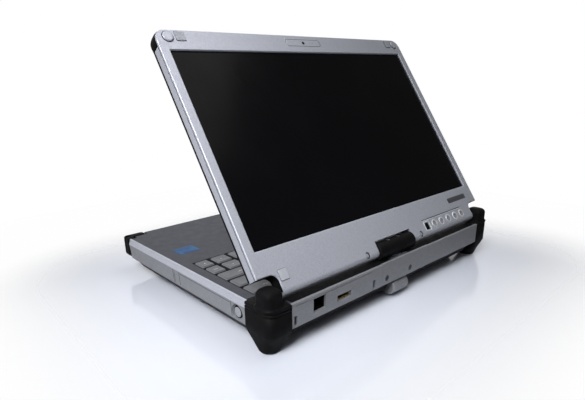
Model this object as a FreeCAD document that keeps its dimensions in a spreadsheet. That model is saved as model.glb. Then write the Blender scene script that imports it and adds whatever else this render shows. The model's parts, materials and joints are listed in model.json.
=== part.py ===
import FreeCAD
import Part
import Sketcher
import os
import re

# A rugged convertible laptop. +X is the user's right, +Y the rear, +Z up, and the origin is the
# centre of the footprint on the table. The display leans over the keyboard with its screen to the rear.
# Display pieces are drawn in the lid's own frame: u to the viewer's right, v up the lid from the tilt
# axis, n out of the screen.

# Driving dimensions in millimetres and degrees: name, value, what it measures.
DIMENSIONS = (
    ("base_width", 297.0, "base across the bumpers"),
    ("base_depth", 226.0, "base front to rear across the bumpers"),
    ("deck_height", 36.4, "top of the deck above the table"),
    ("band_bottom", 17.0, "lower edge of the silver band above the table"),
    ("pan_bottom", 7.5, "underside of the bottom cover above the table"),
    ("case_wall", 2.0, "case side wall"),
    ("case_floor", 1.2, "case floor"),
    ("case_lean", 4.0, "lean of the case sides below the waist, degrees"),
    ("case_slope", 18.0, "slope of the case sides above the waist, degrees"),
    ("shoulder_tall", 5.4, "waist below the top of the deck"),
    ("deck_thick", 1.6, "deck cover"),
    ("plate_thick", 2.0, "rear panels"),
    ("joint_gap", 0.2, "gap between pieces that seat in each other"),
    ("slide_gap", 0.3, "gap round pieces that move"),
    ("run_gap", 0.05, "radial clearance of a turning fit"),
    ("bumper_proud", 0.5, "bumpers outside the case"),
    ("bumper_rise", 0.3, "bumpers above the deck"),
    ("bumper_round", 6.0, "outer corner of the bumpers"),
    ("bumper_groove", 0.6, "height and depth of the line round the rear bumpers"),
    ("bumper_lip", 2.2, "lip above that line"),
    ("edge_soft", 0.5, "small rounding of outer edges"),
    ("edge_small", 0.8, "rounding of thin pieces"),
    ("edge_round", 1.2, "rounding of moulded edges"),
    ("panel_bevel", 1.0, "bevel along the foot of the rear panels"),
    ("rear_bumper_side", 27.0, "rear bumper along the side"),
    ("rear_bumper_back", 20.5, "rear bumper along the rear"),
    ("front_bumper_side", 13.0, "front bumper along the side"),
    ("front_bumper_front", 21.5, "front bumper along the front"),
    ("front_bumper_deep", 8.0, "depth of the front bumper's arms"),
    ("front_bumper_low", 16.5, "lower end of the front bumper above the table"),
    ("tower_width", 14.8, "tower on the rear bumper, along the rear"),
    ("tower_depth", 16.0, "tower, front to rear"),
    ("tower_setback", 1.5, "tower behind the bumper's rear face"),
    ("tower_height", 12.8, "tower above the deck"),
    ("tower_round", 4.6, "rounding of the tower"),
    ("tower_crown", 4.14, "rounding of the tower's top"),
    ("foot_top_radius", 9.8, "rear foot where it leaves the bumper"),
    ("foot_radius", 6.2, "feet where they meet the table"),
    ("front_foot_x", 120.0, "front feet from the middle"),
    ("front_foot_y", 82.0, "front feet ahead of the middle"),
    ("pan_inset", 3.0, "bottom cover inside the case outline"),
    ("pan_slope", 32.0, "slope of the bottom cover's sides, degrees"),
    ("pan_floor", 2.0, "bottom cover thickness"),
    ("pan_rim", 12.0, "bottom cover rim at the top"),
    ("screw_radius", 1.2, "case screw shank"),
    ("screw_head", 2.6, "case screw head radius"),
    ("screw_head_deep", 1.4, "case screw head height"),
    ("boss_wall", 1.4, "screw pillar round the screw head"),
    ("screw_x", 111.0, "case screws from the middle"),
    ("screw_front", 84.0, "front case screws ahead of the middle"),
    ("screw_rear", 77.0, "rear case screws behind the middle"),
    ("mid_screw_front", 98.0, "middle front case screw ahead of the middle"),
    ("mid_screw_rear", 74.0, "middle rear case screw behind the middle"),
    ("port_seam", 27.5, "seam between port panel and centre panel, from the middle"),
    ("blank_seam", 38.7, "seam between centre panel and plain panel, from the middle"),
    ("center_rise", 0.4, "centre panel above the deck"),
    ("lan_x", 100.8, "network socket centre"),
    ("lan_width", 12.8, "network socket mouth"),
    ("lan_low", 22.7, "network socket lower edge"),
    ("lan_tall", 10.6, "network socket mouth height"),
    ("video_x", 74.2, "video socket centre"),
    ("video_width", 15.6, "video socket mouth"),
    ("video_low", 22.7, "video socket lower edge"),
    ("video_tall", 4.6, "video socket mouth height"),
    ("jack_wall", 0.7, "socket shell"),
    ("jack_deep", 12.0, "socket bodies, front to rear"),
    ("jack_back", 1.6, "socket back wall"),
    ("lock_x", 38.2, "lock slot centre"),
    ("lock_width", 3.0, "lock slot"),
    ("lock_low", 19.4, "lock slot lower edge"),
    ("lock_tall", 7.0, "lock slot height"),
    ("catch_x", 124.5, "panel catch slot centre"),
    ("panel_line", 0.5, "engraved line on the port panel"),
    ("line_drop", 2.6, "that line below the deck"),
    ("panel_ledge", 1.0, "case ledge beside the rear panels"),
    ("cover_screw_a", 20.7, "first rear screw from the middle"),
    ("cover_screw_b", 12.2, "second rear screw on the other side of the middle"),
    ("cover_screw_z", 23.0, "rear screws above the table"),
    ("cover_screw_sunk", 0.4, "rear screw heads below the panel"),
    ("cover_screw_head", 0.8, "rear screw head height"),
    ("cover_screw_reach", 4.0, "rear screws behind the panel"),
    ("anchor_width", 20.6, "strap anchor"),
    ("anchor_low", 3.0, "lower side of the strap anchor above the table"),
    ("anchor_front", 97.0, "front end of the strap anchor behind the middle"),
    ("anchor_round", 6.0, "nose of the strap anchor"),
    ("anchor_proud", 0.5, "strap anchor beyond the rear face"),
    ("anchor_edge", 1.5, "rounding of the strap anchor's ends"),
    ("well_margin", 0.7, "keyboard well round the key skirts"),
    ("tray_thick", 0.8, "keyboard tray plate"),
    ("tray_rim", 0.8, "keyboard tray rim"),
    ("tray_drop", 7.7, "underside of the keyboard tray below the deck"),
    ("membrane_thick", 0.8, "key membrane"),
    ("key_rise", 0.5, "keys above the deck"),
    ("key_tall", 4.3, "key cap height"),
    ("key_taper", 16.5, "slope of the key sides, degrees"),
    ("key_gap", 1.2, "gap between key skirts"),
    ("key_pitch", 18.25, "key pitch across"),
    ("row_pitch", 16.5, "key pitch front to rear"),
    ("function_pitch", 16.0, "function key pitch across"),
    ("first_row", 0.1, "start of the front key row"),
    ("function_deep", 10.0, "depth of the function row"),
    ("pad_half", 37.5, "half width of the touchpad"),
    ("pad_front", 68.0, "front edge of the touchpad ahead of the middle"),
    ("pad_rear", 28.0, "rear edge of the touchpad ahead of the middle"),
    ("pad_button", 10.5, "depth of the touchpad buttons"),
    ("pad_sunk", 0.3, "touchpad below the deck"),
    ("pad_flange", 3.0, "touchpad flange under the deck"),
    ("pad_button_split", 0.8, "gap between the two touchpad buttons"),
    ("pad_button_rise", 0.1, "touchpad buttons above the deck"),
    ("pad_flange_thick", 1.0, "touchpad flange"),
    ("board_low", 20.4, "underside of the mainboard"),
    ("board_thick", 1.6, "mainboard"),
    ("board_left", 84.0, "left side of the mainboard from the middle"),
    ("board_right", 24.0, "right side of the mainboard from the middle"),
    ("board_front", 98.0, "front side of the mainboard ahead of the middle"),
    ("board_gap", 3.0, "room round the mainboard"),
    ("board_arm", 34.0, "start of the mainboard's rear arm"),
    ("board_post", 2.5, "board post radius"),
    ("post_inset", 8.0, "board posts inside the board's edges"),
    ("mid_post_y", 40.0, "middle board post behind the middle"),
    ("arm_post_x", 60.0, "inner post of the rear arm"),
    ("memory_left", 64.0, "left side of the memory module from the middle"),
    ("memory_wide", 68.0, "memory module"),
    ("memory_front", 92.0, "front of the memory module ahead of the middle"),
    ("memory_deep", 30.0, "memory module"),
    ("memory_tall", 4.0, "memory module height"),
    ("card_left", 70.0, "left side of the wireless card from the middle"),
    ("card_wide", 30.0, "wireless card"),
    ("card_front", 40.0, "front of the wireless card ahead of the middle"),
    ("card_deep", 22.0, "wireless card"),
    ("card_tall", 2.4, "wireless card height"),
    ("drive_left", 40.0, "left side of the storage drive from the middle"),
    ("drive_wide", 100.0, "storage drive"),
    ("drive_front", 92.0, "front of the storage drive ahead of the middle"),
    ("drive_deep", 70.0, "storage drive"),
    ("drive_tall", 7.0, "storage drive height"),
    ("battery_inner", 30.0, "inner end of the battery from the middle"),
    ("battery_front", 3.0, "front side of the battery ahead of the middle"),
    ("battery_rear", 68.6, "rear side of the battery"),
    ("battery_low", 18.6, "underside of the battery"),
    ("battery_tall", 9.8, "battery height"),
    ("cap_thick", 2.6, "battery end panel"),
    ("cap_border", 0.5, "battery end panel beyond the pack"),
    ("release_y", 76.5, "battery release button behind the middle"),
    ("release_z", 24.0, "battery release button above the table"),
    ("release_radius", 4.8, "battery release button"),
    ("release_deep", 5.0, "battery release button length"),
    ("release_dish", 1.4, "width of the dish round it"),
    ("release_sunk", 1.6, "floor of that dish inside the waist"),
    ("release_set", 0.9, "button face inside the waist"),
    ("fan_inset", 34.0, "fan axis from the left side of the case"),
    ("cut_reach", 3.0, "openings cut free inside the wall"),
    ("fan_y", 41.0, "fan axis behind the middle"),
    ("fan_radius", 21.0, "fan chamber"),
    ("fan_wall", 3.0, "fan housing round the chamber"),
    ("fan_skin", 1.0, "fan housing floor and roof"),
    ("fan_inlet", 14.7, "fan inlet and outlet half width"),
    ("rotor_gap", 2.0, "gap between blades and chamber"),
    ("rotor_lift", 0.6, "rotor above the housing floor"),
    ("rotor_room", 0.8, "rotor below the housing roof"),
    ("blade_thick", 1.2, "fan blade"),
    ("fan_low", 20.0, "underside of the fan housing"),
    ("fan_tall", 8.2, "fan housing height"),
    ("fan_pin", 1.5, "fan axle radius"),
    ("rotor_hub", 8.0, "fan hub radius"),
    ("cooler_left", 56.0, "left side of the cooling plate from the middle"),
    ("cooler_right", 24.0, "right side of the cooling plate from the middle"),
    ("cooler_front", 40.0, "front of the cooling plate behind the middle"),
    ("cooler_deep", 38.0, "cooling plate"),
    ("cooler_thick", 2.0, "cooling plate"),
    ("pipe_deep", 7.0, "heat pipe, front to rear"),
    ("pipe_tall", 3.0, "heat pipe height"),
    ("pipe_lift", 1.0, "heat pipe above the board"),
    ("pipe_end", 40.0, "inner end of the heat pipe from the middle"),
    ("fin_gap", 1.0, "gap between fins and fan housing"),
    ("pipe_gap", 2.0, "gap between heat pipe and fan housing"),
    ("vent_front", 20.0, "front end of the side vent behind the middle"),
    ("vent_long", 46.0, "side vent length"),
    ("vent_low", 20.5, "lower edge of the side vent"),
    ("vent_tall", 10.0, "side vent height"),
    ("vent_slot", 2.4, "vent slot width"),
    ("vent_pitch", 4.4, "vent slot pitch"),
    ("vent_sunk", 1.0, "vent inside the waist"),
    ("vent_thick", 1.6, "vent plate"),
    ("vent_end", 2.0, "vent plate beyond the slots"),
    ("vent_border", 1.4, "vent plate above and below the slots"),
    ("hinge_setback", 11.7, "tilt axis ahead of the rear face"),
    ("lid_gap", 1.6, "gap between the closed lid and the deck"),
    ("lid_thick", 10.0, "lid thickness"),
    ("lid_lean", 56.19, "lid above the horizontal as shown, degrees"),
    ("lid_inset", 1.5, "lid inside the base on each side"),
    ("lid_front", 8.4, "closed lid behind the base's front"),
    ("lid_corner", 9.0, "upper lid corners"),
    ("notch_clear", 3.7, "gap beside the tower in the lower corner notches"),
    ("notch_reach", 5.94, "notches beyond the tower when the lid is shut"),
    ("notch_round", 6.0, "inner corner of the notches"),
    ("cut_half", 24.5, "half width of the hinge cut-out"),
    ("cut_clear", 0.7, "hinge cut-out round the housing"),
    ("bezel_thick", 1.6, "bezel plate"),
    ("seam_wide", 0.8, "seam between bezel and lid back"),
    ("back_wall", 1.4, "lid back"),
    ("split_gap", 0.15, "gap between lid back and bezel roll"),
    ("screen_side", 7.8, "bezel beside the screen"),
    ("screen_head", 17.5, "bezel above the screen"),
    ("screen_low", 29.8, "lower edge of the screen opening above the tilt axis"),
    ("screen_bevel", 0.7, "bevel round the screen opening"),
    ("glass_thick", 2.0, "touch glass"),
    ("glass_lap", 2.2, "touch glass behind the bezel"),
    ("glass_gap", 0.1, "touch glass and camera window behind the bezel's faces"),
    ("panel_thick", 3.4, "display panel"),
    ("guard_wide", 12.5, "corner guards across"),
    ("guard_tall", 13.5, "corner guards down the lid"),
    ("guard_proud", 0.4, "corner guards behind the lid back"),
    ("camera_drop", 7.7, "camera below the top of the lid"),
    ("camera_half", 14.0, "half width of the camera board"),
    ("camera_tall", 6.0, "camera board height"),
    ("camera_thick", 1.4, "camera board"),
    ("lens_radius", 2.0, "lens barrel"),
    ("window_half", 22.0, "half width of the camera window"),
    ("window_tall", 7.5, "camera window height"),
    ("dimple_u", 38.2, "hinge screw dimples from the middle"),
    ("dimple_radius", 2.8, "hinge screw dimples"),
    ("dimple_deep", 0.8, "hinge screw dimples"),
    ("pad_size", 8.0, "square bezel pads"),
    ("pad_corner", 0.6, "rounding of the square pads"),
    ("upper_pad_in", 20.5, "upper bezel pads from the lid's side"),
    ("upper_pad_drop", 5.7, "upper bezel pads below the top of the lid"),
    ("lower_pad_in", 5.5, "lower bezel pad from its notch"),
    ("lower_pad_v", 9.4, "lower bezel pad above the tilt axis"),
    ("pad_rise", 0.6, "bezel pads above the bezel"),
    ("corner_boss_in", 10.0, "round corner bosses from the lid's side"),
    ("corner_boss_drop", 6.3, "round corner bosses below the top of the lid"),
    ("corner_boss_radius", 4.35, "round corner bosses"),
    ("corner_boss_rise", 0.8, "round corner bosses above the bezel"),
    ("button_v", 4.6, "bezel buttons above the tilt axis"),
    ("button_u", 63.0, "first bezel button from the middle"),
    ("button_pitch", 12.1, "bezel buttons apart"),
    ("button_radius", 3.0, "bezel buttons"),
    ("button_rise", 0.5, "bezel buttons above the bezel"),
    ("button_flange", 0.8, "bezel button flange beyond the button"),
    ("flange_drop", 2.0, "underside of the button flanges behind the bezel"),
    ("flange_tall", 1.0, "button flanges"),
    ("press_room", 0.8, "room behind the button flanges"),
    ("button_room", 6.0, "room beside the bezel buttons"),
    ("switch_room", 8.0, "room beside the slide switch"),
    ("switch_u", 51.3, "slide switch from the middle"),
    ("switch_wide", 2.6, "slide switch knob along its travel"),
    ("switch_tall", 6.0, "slide switch knob across its travel"),
    ("switch_travel", 1.5, "slide switch travel each way"),
    ("switch_lap", 0.5, "slide switch foot above and below the knob"),
    ("switch_edge", 0.4, "rounding of the knob"),
    ("strip_v", 10.8, "engraved line over the bezel buttons"),
    ("strip_start", 46.0, "start of that line from the middle"),
    ("strip_end", 113.0, "end of that line from the middle"),
    ("strip_deep", 0.4, "depth of that line"),
    ("strip_wide", 0.5, "width of that line"),
    ("shaft_radius", 1.9, "hinge shafts"),
    ("shaft_inner", 8.0, "inner end of the hinge shafts from the middle"),
    ("shaft_outer", 41.0, "outer end of the hinge shafts from the middle"),
    ("knuckle_wall", 1.3, "hinge bracket knuckle round the shaft"),
    ("hinge_room", 1.0, "room round the hinge inside the lid"),
    ("knuckle_start", 27.0, "inner end of the knuckles from the middle"),
    ("bracket_tall", 24.0, "hinge bracket arm up the lid"),
    ("bracket_thick", 1.8, "hinge bracket arm"),
    ("housing_radius", 7.6, "hinge housing"),
    ("housing_screw_x", 7.0, "hinge housing screws from the middle"),
    ("housing_screw_seat", 1.4, "depth of the hinge housing's screw seats"),
    ("housing_screw_head", 1.7, "hinge housing screw radius"),
    ("housing_screw_tall", 1.2, "hinge housing screw height"),
    ("post_radius", 4.5, "swivel post"),
    ("post_wall", 1.9, "swivel post round its cable way"),
    ("post_low", 22.4, "lower end of the swivel post"),
    ("flange_wide", 2.7, "swivel flange beyond the post"),
    ("flange_gap", 0.3, "swivel flange above the deck"),
    ("flange_thick", 0.9, "swivel flange"),
    ("bearing_wall", 1.5, "swivel bearing boss round the post"),
    ("bearing_foot", 1.0, "bearing boss below the post"),
    ("bearing_lap", 1.0, "bearing plate behind the boss"),
    ("bearing_plate", 2.0, "swivel bearing plate"),
    ("bearing_half", 28.0, "half width of the swivel bearing plate"),
)

# Sizes that follow from the driving dimensions: name, formula, what it measures.
DERIVED = (
    ("case_waist", "deck_height - shoulder_tall", "height of the widest line of the case"),
    ("key_top", "deck_height + key_rise", "top of the keys above the table"),
    ("tray_low", "deck_height - tray_drop", "underside of the keyboard tray above the table"),
    ("boss_radius", "screw_head + boss_wall", "screw pillar in the bottom cover"),
    ("fan_x", "base_width / 2 - bumper_proud - fan_inset", "fan axis to the left of the middle"),
    ("fan_half", "fan_radius + fan_wall", "half the fan housing"),
    ("rotor_radius", "fan_radius - rotor_gap", "fan rotor"),
    ("lid_width", "base_width - 2 * lid_inset", "lid across"),
    ("lid_top", "base_depth - hinge_setback - lid_front", "top of the lid above the tilt axis"),
    ("notch_u", "base_width / 2 - bumper_proud - tower_width - notch_clear", "inner side of the notches"),
    ("notch_v", "tower_setback + tower_depth - hinge_setback + notch_reach", "top of the lower notches"),
    ("cut_v", "housing_radius + cut_clear", "top of the hinge cut-out above the tilt axis"),
    ("screen_half", "lid_width / 2 - screen_side", "half width of the screen opening"),
    ("screen_high", "lid_top - screen_head", "upper edge of the screen opening"),
    ("guard_u", "lid_width / 2 - guard_wide", "inner side of the corner guards from the middle"),
    ("guard_v", "lid_top - guard_tall", "lower side of the corner guards"),
    ("camera_v", "lid_top - camera_drop", "camera above the tilt axis"),
    ("upper_pad_u", "lid_width / 2 - upper_pad_in", "upper bezel pads from the middle"),
    ("upper_pad_v", "lid_top - upper_pad_drop", "upper bezel pads above the tilt axis"),
    ("lower_pad_u", "notch_u - lower_pad_in", "lower bezel pad from the middle"),
    ("corner_boss_u", "lid_width / 2 - corner_boss_in", "round corner bosses from the middle"),
    ("corner_boss_v", "lid_top - corner_boss_drop", "round corner bosses above the tilt axis"),
    ("knuckle_radius", "shaft_radius + knuckle_wall", "hinge bracket knuckle"),
    ("post_bore", "post_radius - post_wall", "cable way through the post"),
    ("flange_radius", "post_radius + flange_wide", "swivel flange"),
    ("bearing_radius", "post_radius + bearing_wall", "swivel bearing boss"),
)

# Key widths in key pitches, from the left end of each row, front row first.
KEY_ROWS = (
    (1.25, 1, 1, 1, 5.9, 1, 1, 1, 1, 0.85),
    (2.15,) + (1,) * 12 + (0.85,),
    (1.75,) + (1,) * 11 + (2.25,),
    (1.5,) + (1,) * 12 + (1.5,),
    (1,) * 13 + (2,),
    (1,) * 15,
)

# Places worked out from the driving dimensions, as formulas.
CASE_X = "(base_width / 2 - bumper_proud)"
CASE_Y = "(base_depth / 2 - bumper_proud)"
DECK_UNDER = "(deck_height - deck_thick)"
FLOOR_TOP = "(band_bottom + case_floor)"
PLATE_IN = f"({CASE_Y} - plate_thick)"
REAR_X = "(base_width / 2 - rear_bumper_back - joint_gap)"
REAR_S = "(base_depth / 2 - rear_bumper_side - joint_gap)"
FRONT_X = "(base_width / 2 - front_bumper_front - joint_gap)"
FRONT_Y = "-(base_depth / 2 - front_bumper_deep - joint_gap)"
SIDE_X = "(base_width / 2 - front_bumper_deep - joint_gap)"
SIDE_S = "-(base_depth / 2 - front_bumper_side - joint_gap)"
HINGE_Y = "(base_depth / 2 - hinge_setback)"
HINGE_Z = "(deck_height + lid_gap + lid_thick / 2)"
BOARD_TOP = "(board_low + board_thick)"
KEY_LOW = "(key_top - key_tall)"
TRAY_TOP = "(tray_low + tray_thick)"
ROW_UNITS = 15
KEYS_X = f"({ROW_UNITS} / 2 * key_pitch)"
FUNCTION_X = f"({ROW_UNITS} / 2 * function_pitch)"
FUNCTION_ROW = f"(first_row + {len(KEY_ROWS) - 1} * row_pitch)"
KEYS_REAR = f"({FUNCTION_ROW} + function_deep)"
BATTERY_TOP = "(battery_low + battery_tall)"
CAP_IN = f"({CASE_X} - cap_thick)"
BEZEL_FACE = "(lid_thick / 2)"
BEZEL_BACK = "(lid_thick / 2 - bezel_thick)"
SHELL_FACE = "(lid_thick / 2 - bezel_thick - seam_wide)"
SHELL_FLOOR = "(back_wall - lid_thick / 2)"
LID_X = "(lid_width / 2)"
FLANGE_TOP = "(deck_height + flange_gap + flange_thick)"
TOUCH_LOW = f"({DECK_UNDER} - joint_gap - pad_flange_thick)"
TOUCH_FRONT = "(-pad_front - slide_gap - joint_gap / 2)"
BOARD_REAR = f"({HINGE_Y} - bearing_radius - board_gap)"
ARM_FRONT = "(battery_rear + board_gap + panel_ledge)"
ARM_END = f"({REAR_X} - case_wall - board_gap)"
PRESS_LOW = f"({BEZEL_BACK} - flange_drop)"
KNOB_LOW = f"({PRESS_LOW} + flange_tall / 2)"

doc = FreeCAD.newDocument("laptop")
sheet = doc.addObject("Spreadsheet::Sheet", "sizes")
for line, (alias, size, meaning) in enumerate(DIMENSIONS + DERIVED, start=1):
    sheet.set(f"A{line}", alias)
    sheet.set(f"B{line}", f"={size}")
    sheet.set(f"C{line}", meaning)
    sheet.setAlias(f"B{line}", alias)
doc.recompute()
ALIASES = {alias for alias, size, meaning in DIMENSIONS + DERIVED}
TURNED = {
    "x": FreeCAD.Rotation(FreeCAD.Vector(0, 1, 0), 90),
    "y": FreeCAD.Rotation(FreeCAD.Vector(1, 0, 0), -90),
    "z": FreeCAD.Rotation(),
}
NEAR = 0.01
OVERSHOOT = 1.0
BLADES = 6
BUTTONS = 5
pieces = []


def named(formula):
    """The formula with each dimension read from the sheet."""
    def full(word):
        return f"sizes.{word[0]}" if word[0] in ALIASES else word[0]

    return re.sub(r"[a-z_]+", full, str(formula))


def value(formula):
    """The formula's present value."""
    return float(sheet.evalExpression(named(formula)))


def bind(item, **formulas):
    """Ties properties to formulas; a double underscore in a name stands for a dot."""
    for name, formula in formulas.items():
        item.setExpression(name.replace("__", "."), named(formula))


def piece(label, on_lid=False):
    """An empty sub-part, in the base's frame or in the lid's."""
    body = doc.addObject("PartDesign::Body", label)
    body.Label = label
    body.AllowCompound = True
    if on_lid:
        lean = FreeCAD.Rotation(FreeCAD.Vector(1, 0, 0), -value("lid_lean"))
        about = FreeCAD.Rotation(FreeCAD.Vector(0, 0, 1), 180)
        body.Placement = FreeCAD.Placement(FreeCAD.Vector(0, value(HINGE_Y), value(HINGE_Z)), lean * about)
    pieces.append(body)
    return body


def outlines(body, plane, loops, offset):
    """A sketch of closed loops of straight sides, each corner held by a pair of formulas."""
    sketch = body.newObject("Sketcher::SketchObject", "outline")
    support = [origin for origin in body.Origin.OriginFeatures if origin.Role == plane + "_Plane"]
    sketch.AttachmentSupport = [(support[0], "")]
    sketch.MapMode = "FlatFace"
    bind(sketch, AttachmentOffset__Base__z=offset)
    sides = []
    joins = []
    places = []
    for corners in loops:
        first = len(sides)
        spots = [FreeCAD.Vector(value(across), value(up), 0) for across, up in corners]
        for number, spot in enumerate(spots):
            following = (number + 1) % len(spots)
            sides.append(Part.LineSegment(spot, spots[following]))
            joins.append(Sketcher.Constraint("Coincident", first + number, 2, first + following, 1))
            places.append(("DistanceX", first + number, spot.x, corners[number][0]))
            places.append(("DistanceY", first + number, spot.y, corners[number][1]))
    sketch.addGeometry(sides)
    lengths = [Sketcher.Constraint(way, -1, 1, side, 1, at) for way, side, at, text in places]
    sketch.addConstraint(joins + lengths)
    for number, (way, side, at, text) in enumerate(places, start=len(joins)):
        sketch.setExpression(f"Constraints[{number}]", named(text))
    return sketch


def pad(body, plane, loops, start, length, taper=None, downward=False):
    """Loops raised from start along the plane's normal, narrowing by the taper angle."""
    feature = body.newObject("PartDesign::Pad", "raised")
    feature.Profile = outlines(body, plane, loops, start)
    feature.Reversed = downward
    bind(feature, Length=length)
    if taper:
        bind(feature, TaperAngle=f"-({taper})")


def pocket(body, plane, loops, start, depth):
    """Loops cut from start against the plane's normal."""
    doc.recompute()
    before = body.Shape.Volume
    feature = body.newObject("PartDesign::Pocket", "sunk")
    feature.Profile = outlines(body, plane, loops, start)
    bind(feature, Length=depth)
    doc.recompute()
    if body.Shape.Volume > before - NEAR:
        raise RuntimeError(body.Label + " has a pocket that cuts nothing")


def place(feature, low):
    """Ties a primitive's corner or foot to three formulas."""
    bind(feature, Placement__Base__x=low[0], Placement__Base__y=low[1], Placement__Base__z=low[2])


def block(body, low, high, cut=False):
    """A box between two corners, added or cut."""
    kind = "PartDesign::SubtractiveBox" if cut else "PartDesign::AdditiveBox"
    feature = body.newObject(kind, "block")
    spans = [f"({top}) - ({bottom})" for bottom, top in zip(low, high)]
    bind(feature, Length=spans[0], Width=spans[1], Height=spans[2])
    place(feature, low)


def rod(body, foot, radius, length, way="z", cut=False, end_radius=None):
    """A round bar, or a cone if its end has another radius, from its foot along an axis."""
    shape = "Cone" if end_radius else "Cylinder"
    kind = "Subtractive" if cut else "Additive"
    feature = body.newObject(f"PartDesign::{kind}{shape}", "rod")
    feature.Placement = FreeCAD.Placement(FreeCAD.Vector(), TURNED[way])
    if end_radius:
        bind(feature, Radius1=radius, Radius2=end_radius, Height=length)
    else:
        bind(feature, Radius=radius, Height=length)
    place(feature, foot)


def ease(body, size, chosen, bevel=False):
    """Rounds or bevels every edge that the test chooses."""
    doc.recompute()
    last = body.Tip
    names = [f"Edge{number}" for number, edge in enumerate(last.Shape.Edges, start=1) if chosen(edge)]
    if not names:
        raise RuntimeError(body.Label + " has no edge to ease")
    feature = body.newObject("PartDesign::Chamfer" if bevel else "PartDesign::Fillet", "eased")
    feature.Base = (last, names)
    if bevel:
        bind(feature, Size=size)
    else:
        bind(feature, Radius=size)


def spans(edge, axis):
    """An edge's lowest and highest place along an axis."""
    box = edge.BoundBox
    return {"x": (box.XMin, box.XMax), "y": (box.YMin, box.YMax), "z": (box.ZMin, box.ZMax)}[axis]


def lies_at(edge, axis, formula):
    """True where the whole edge is at one place along an axis."""
    low, high = spans(edge, axis)
    at = value(formula)
    return abs(low - at) < NEAR and abs(high - at) < NEAR


def runs_along(edge, axis):
    """True for a straight edge parallel to an axis."""
    return all(spans(edge, other)[1] - spans(edge, other)[0] < NEAR for other in "xyz" if other != axis)


def upright_at(edge, across, along):
    """True for an edge parallel to z at one of the places given, on either side of the middle."""
    sides = (across, f"-({across})")
    return runs_along(edge, "z") and lies_at(edge, "y", along) and any(lies_at(edge, "x", x) for x in sides)


def rectangle(left, front, right, rear):
    """Corners of a rectangle."""
    return ((left, front), (right, front), (right, rear), (left, rear))


def both_sides(corners):
    """A loop whose right half is given, from the front or foot to the rear or top."""
    return tuple(corners) + tuple((f"-({across})", up) for across, up in reversed(corners))


def case_loop(inset="0"):
    """The case outline with its corners cut out for the bumpers, drawn in by an inset."""
    return both_sides((
        (f"{FRONT_X} - {inset}", f"{inset} - {CASE_Y}"),
        (f"{FRONT_X} - {inset}", f"{FRONT_Y} + {inset}"),
        (f"{SIDE_X} - {inset}", f"{FRONT_Y} + {inset}"),
        (f"{SIDE_X} - {inset}", f"{SIDE_S} + {inset}"),
        (f"{CASE_X} - {inset}", f"{SIDE_S} + {inset}"),
        (f"{CASE_X} - {inset}", f"{REAR_S} - {inset}"),
        (f"{REAR_X} - {inset}", f"{REAR_S} - {inset}"),
        (f"{REAR_X} - {inset}", f"{CASE_Y} - {inset}"),
    ))


def well_loop(margin):
    """The keyboard's outline, narrower at the function row, with a margin round it."""
    return both_sides((
        (f"{KEYS_X} + {margin}", f"first_row - {margin}"),
        (f"{KEYS_X} + {margin}", f"{FUNCTION_ROW} - key_gap / 2 + {margin}"),
        (f"{FUNCTION_X} + {margin}", f"{FUNCTION_ROW} - key_gap / 2 + {margin}"),
        (f"{FUNCTION_X} + {margin}", f"{KEYS_REAR} + {margin}"),
    ))


# Screws that hold the bottom cover to the case.
CASE_SCREWS = (
    ("screw_x", "-screw_front"), ("-screw_x", "-screw_front"), ("screw_x", "screw_rear"),
    ("-screw_x", "screw_rear"), ("0", "-mid_screw_front"), ("0", "mid_screw_rear"),
)

# Posts under the mainboard.
BOARD_POSTS = (
    ("post_inset - board_left", "post_inset - board_front"),
    ("board_right - post_inset", "post_inset - board_front"),
    ("post_inset - board_left", f"{BOARD_REAR} - post_inset"),
    ("board_right - post_inset", "mid_post_y"),
    (f"{ARM_END} - post_inset", f"{ARM_FRONT} + post_inset"),
    ("arm_post_x", f"{ARM_FRONT} + post_inset"),
)


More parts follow.
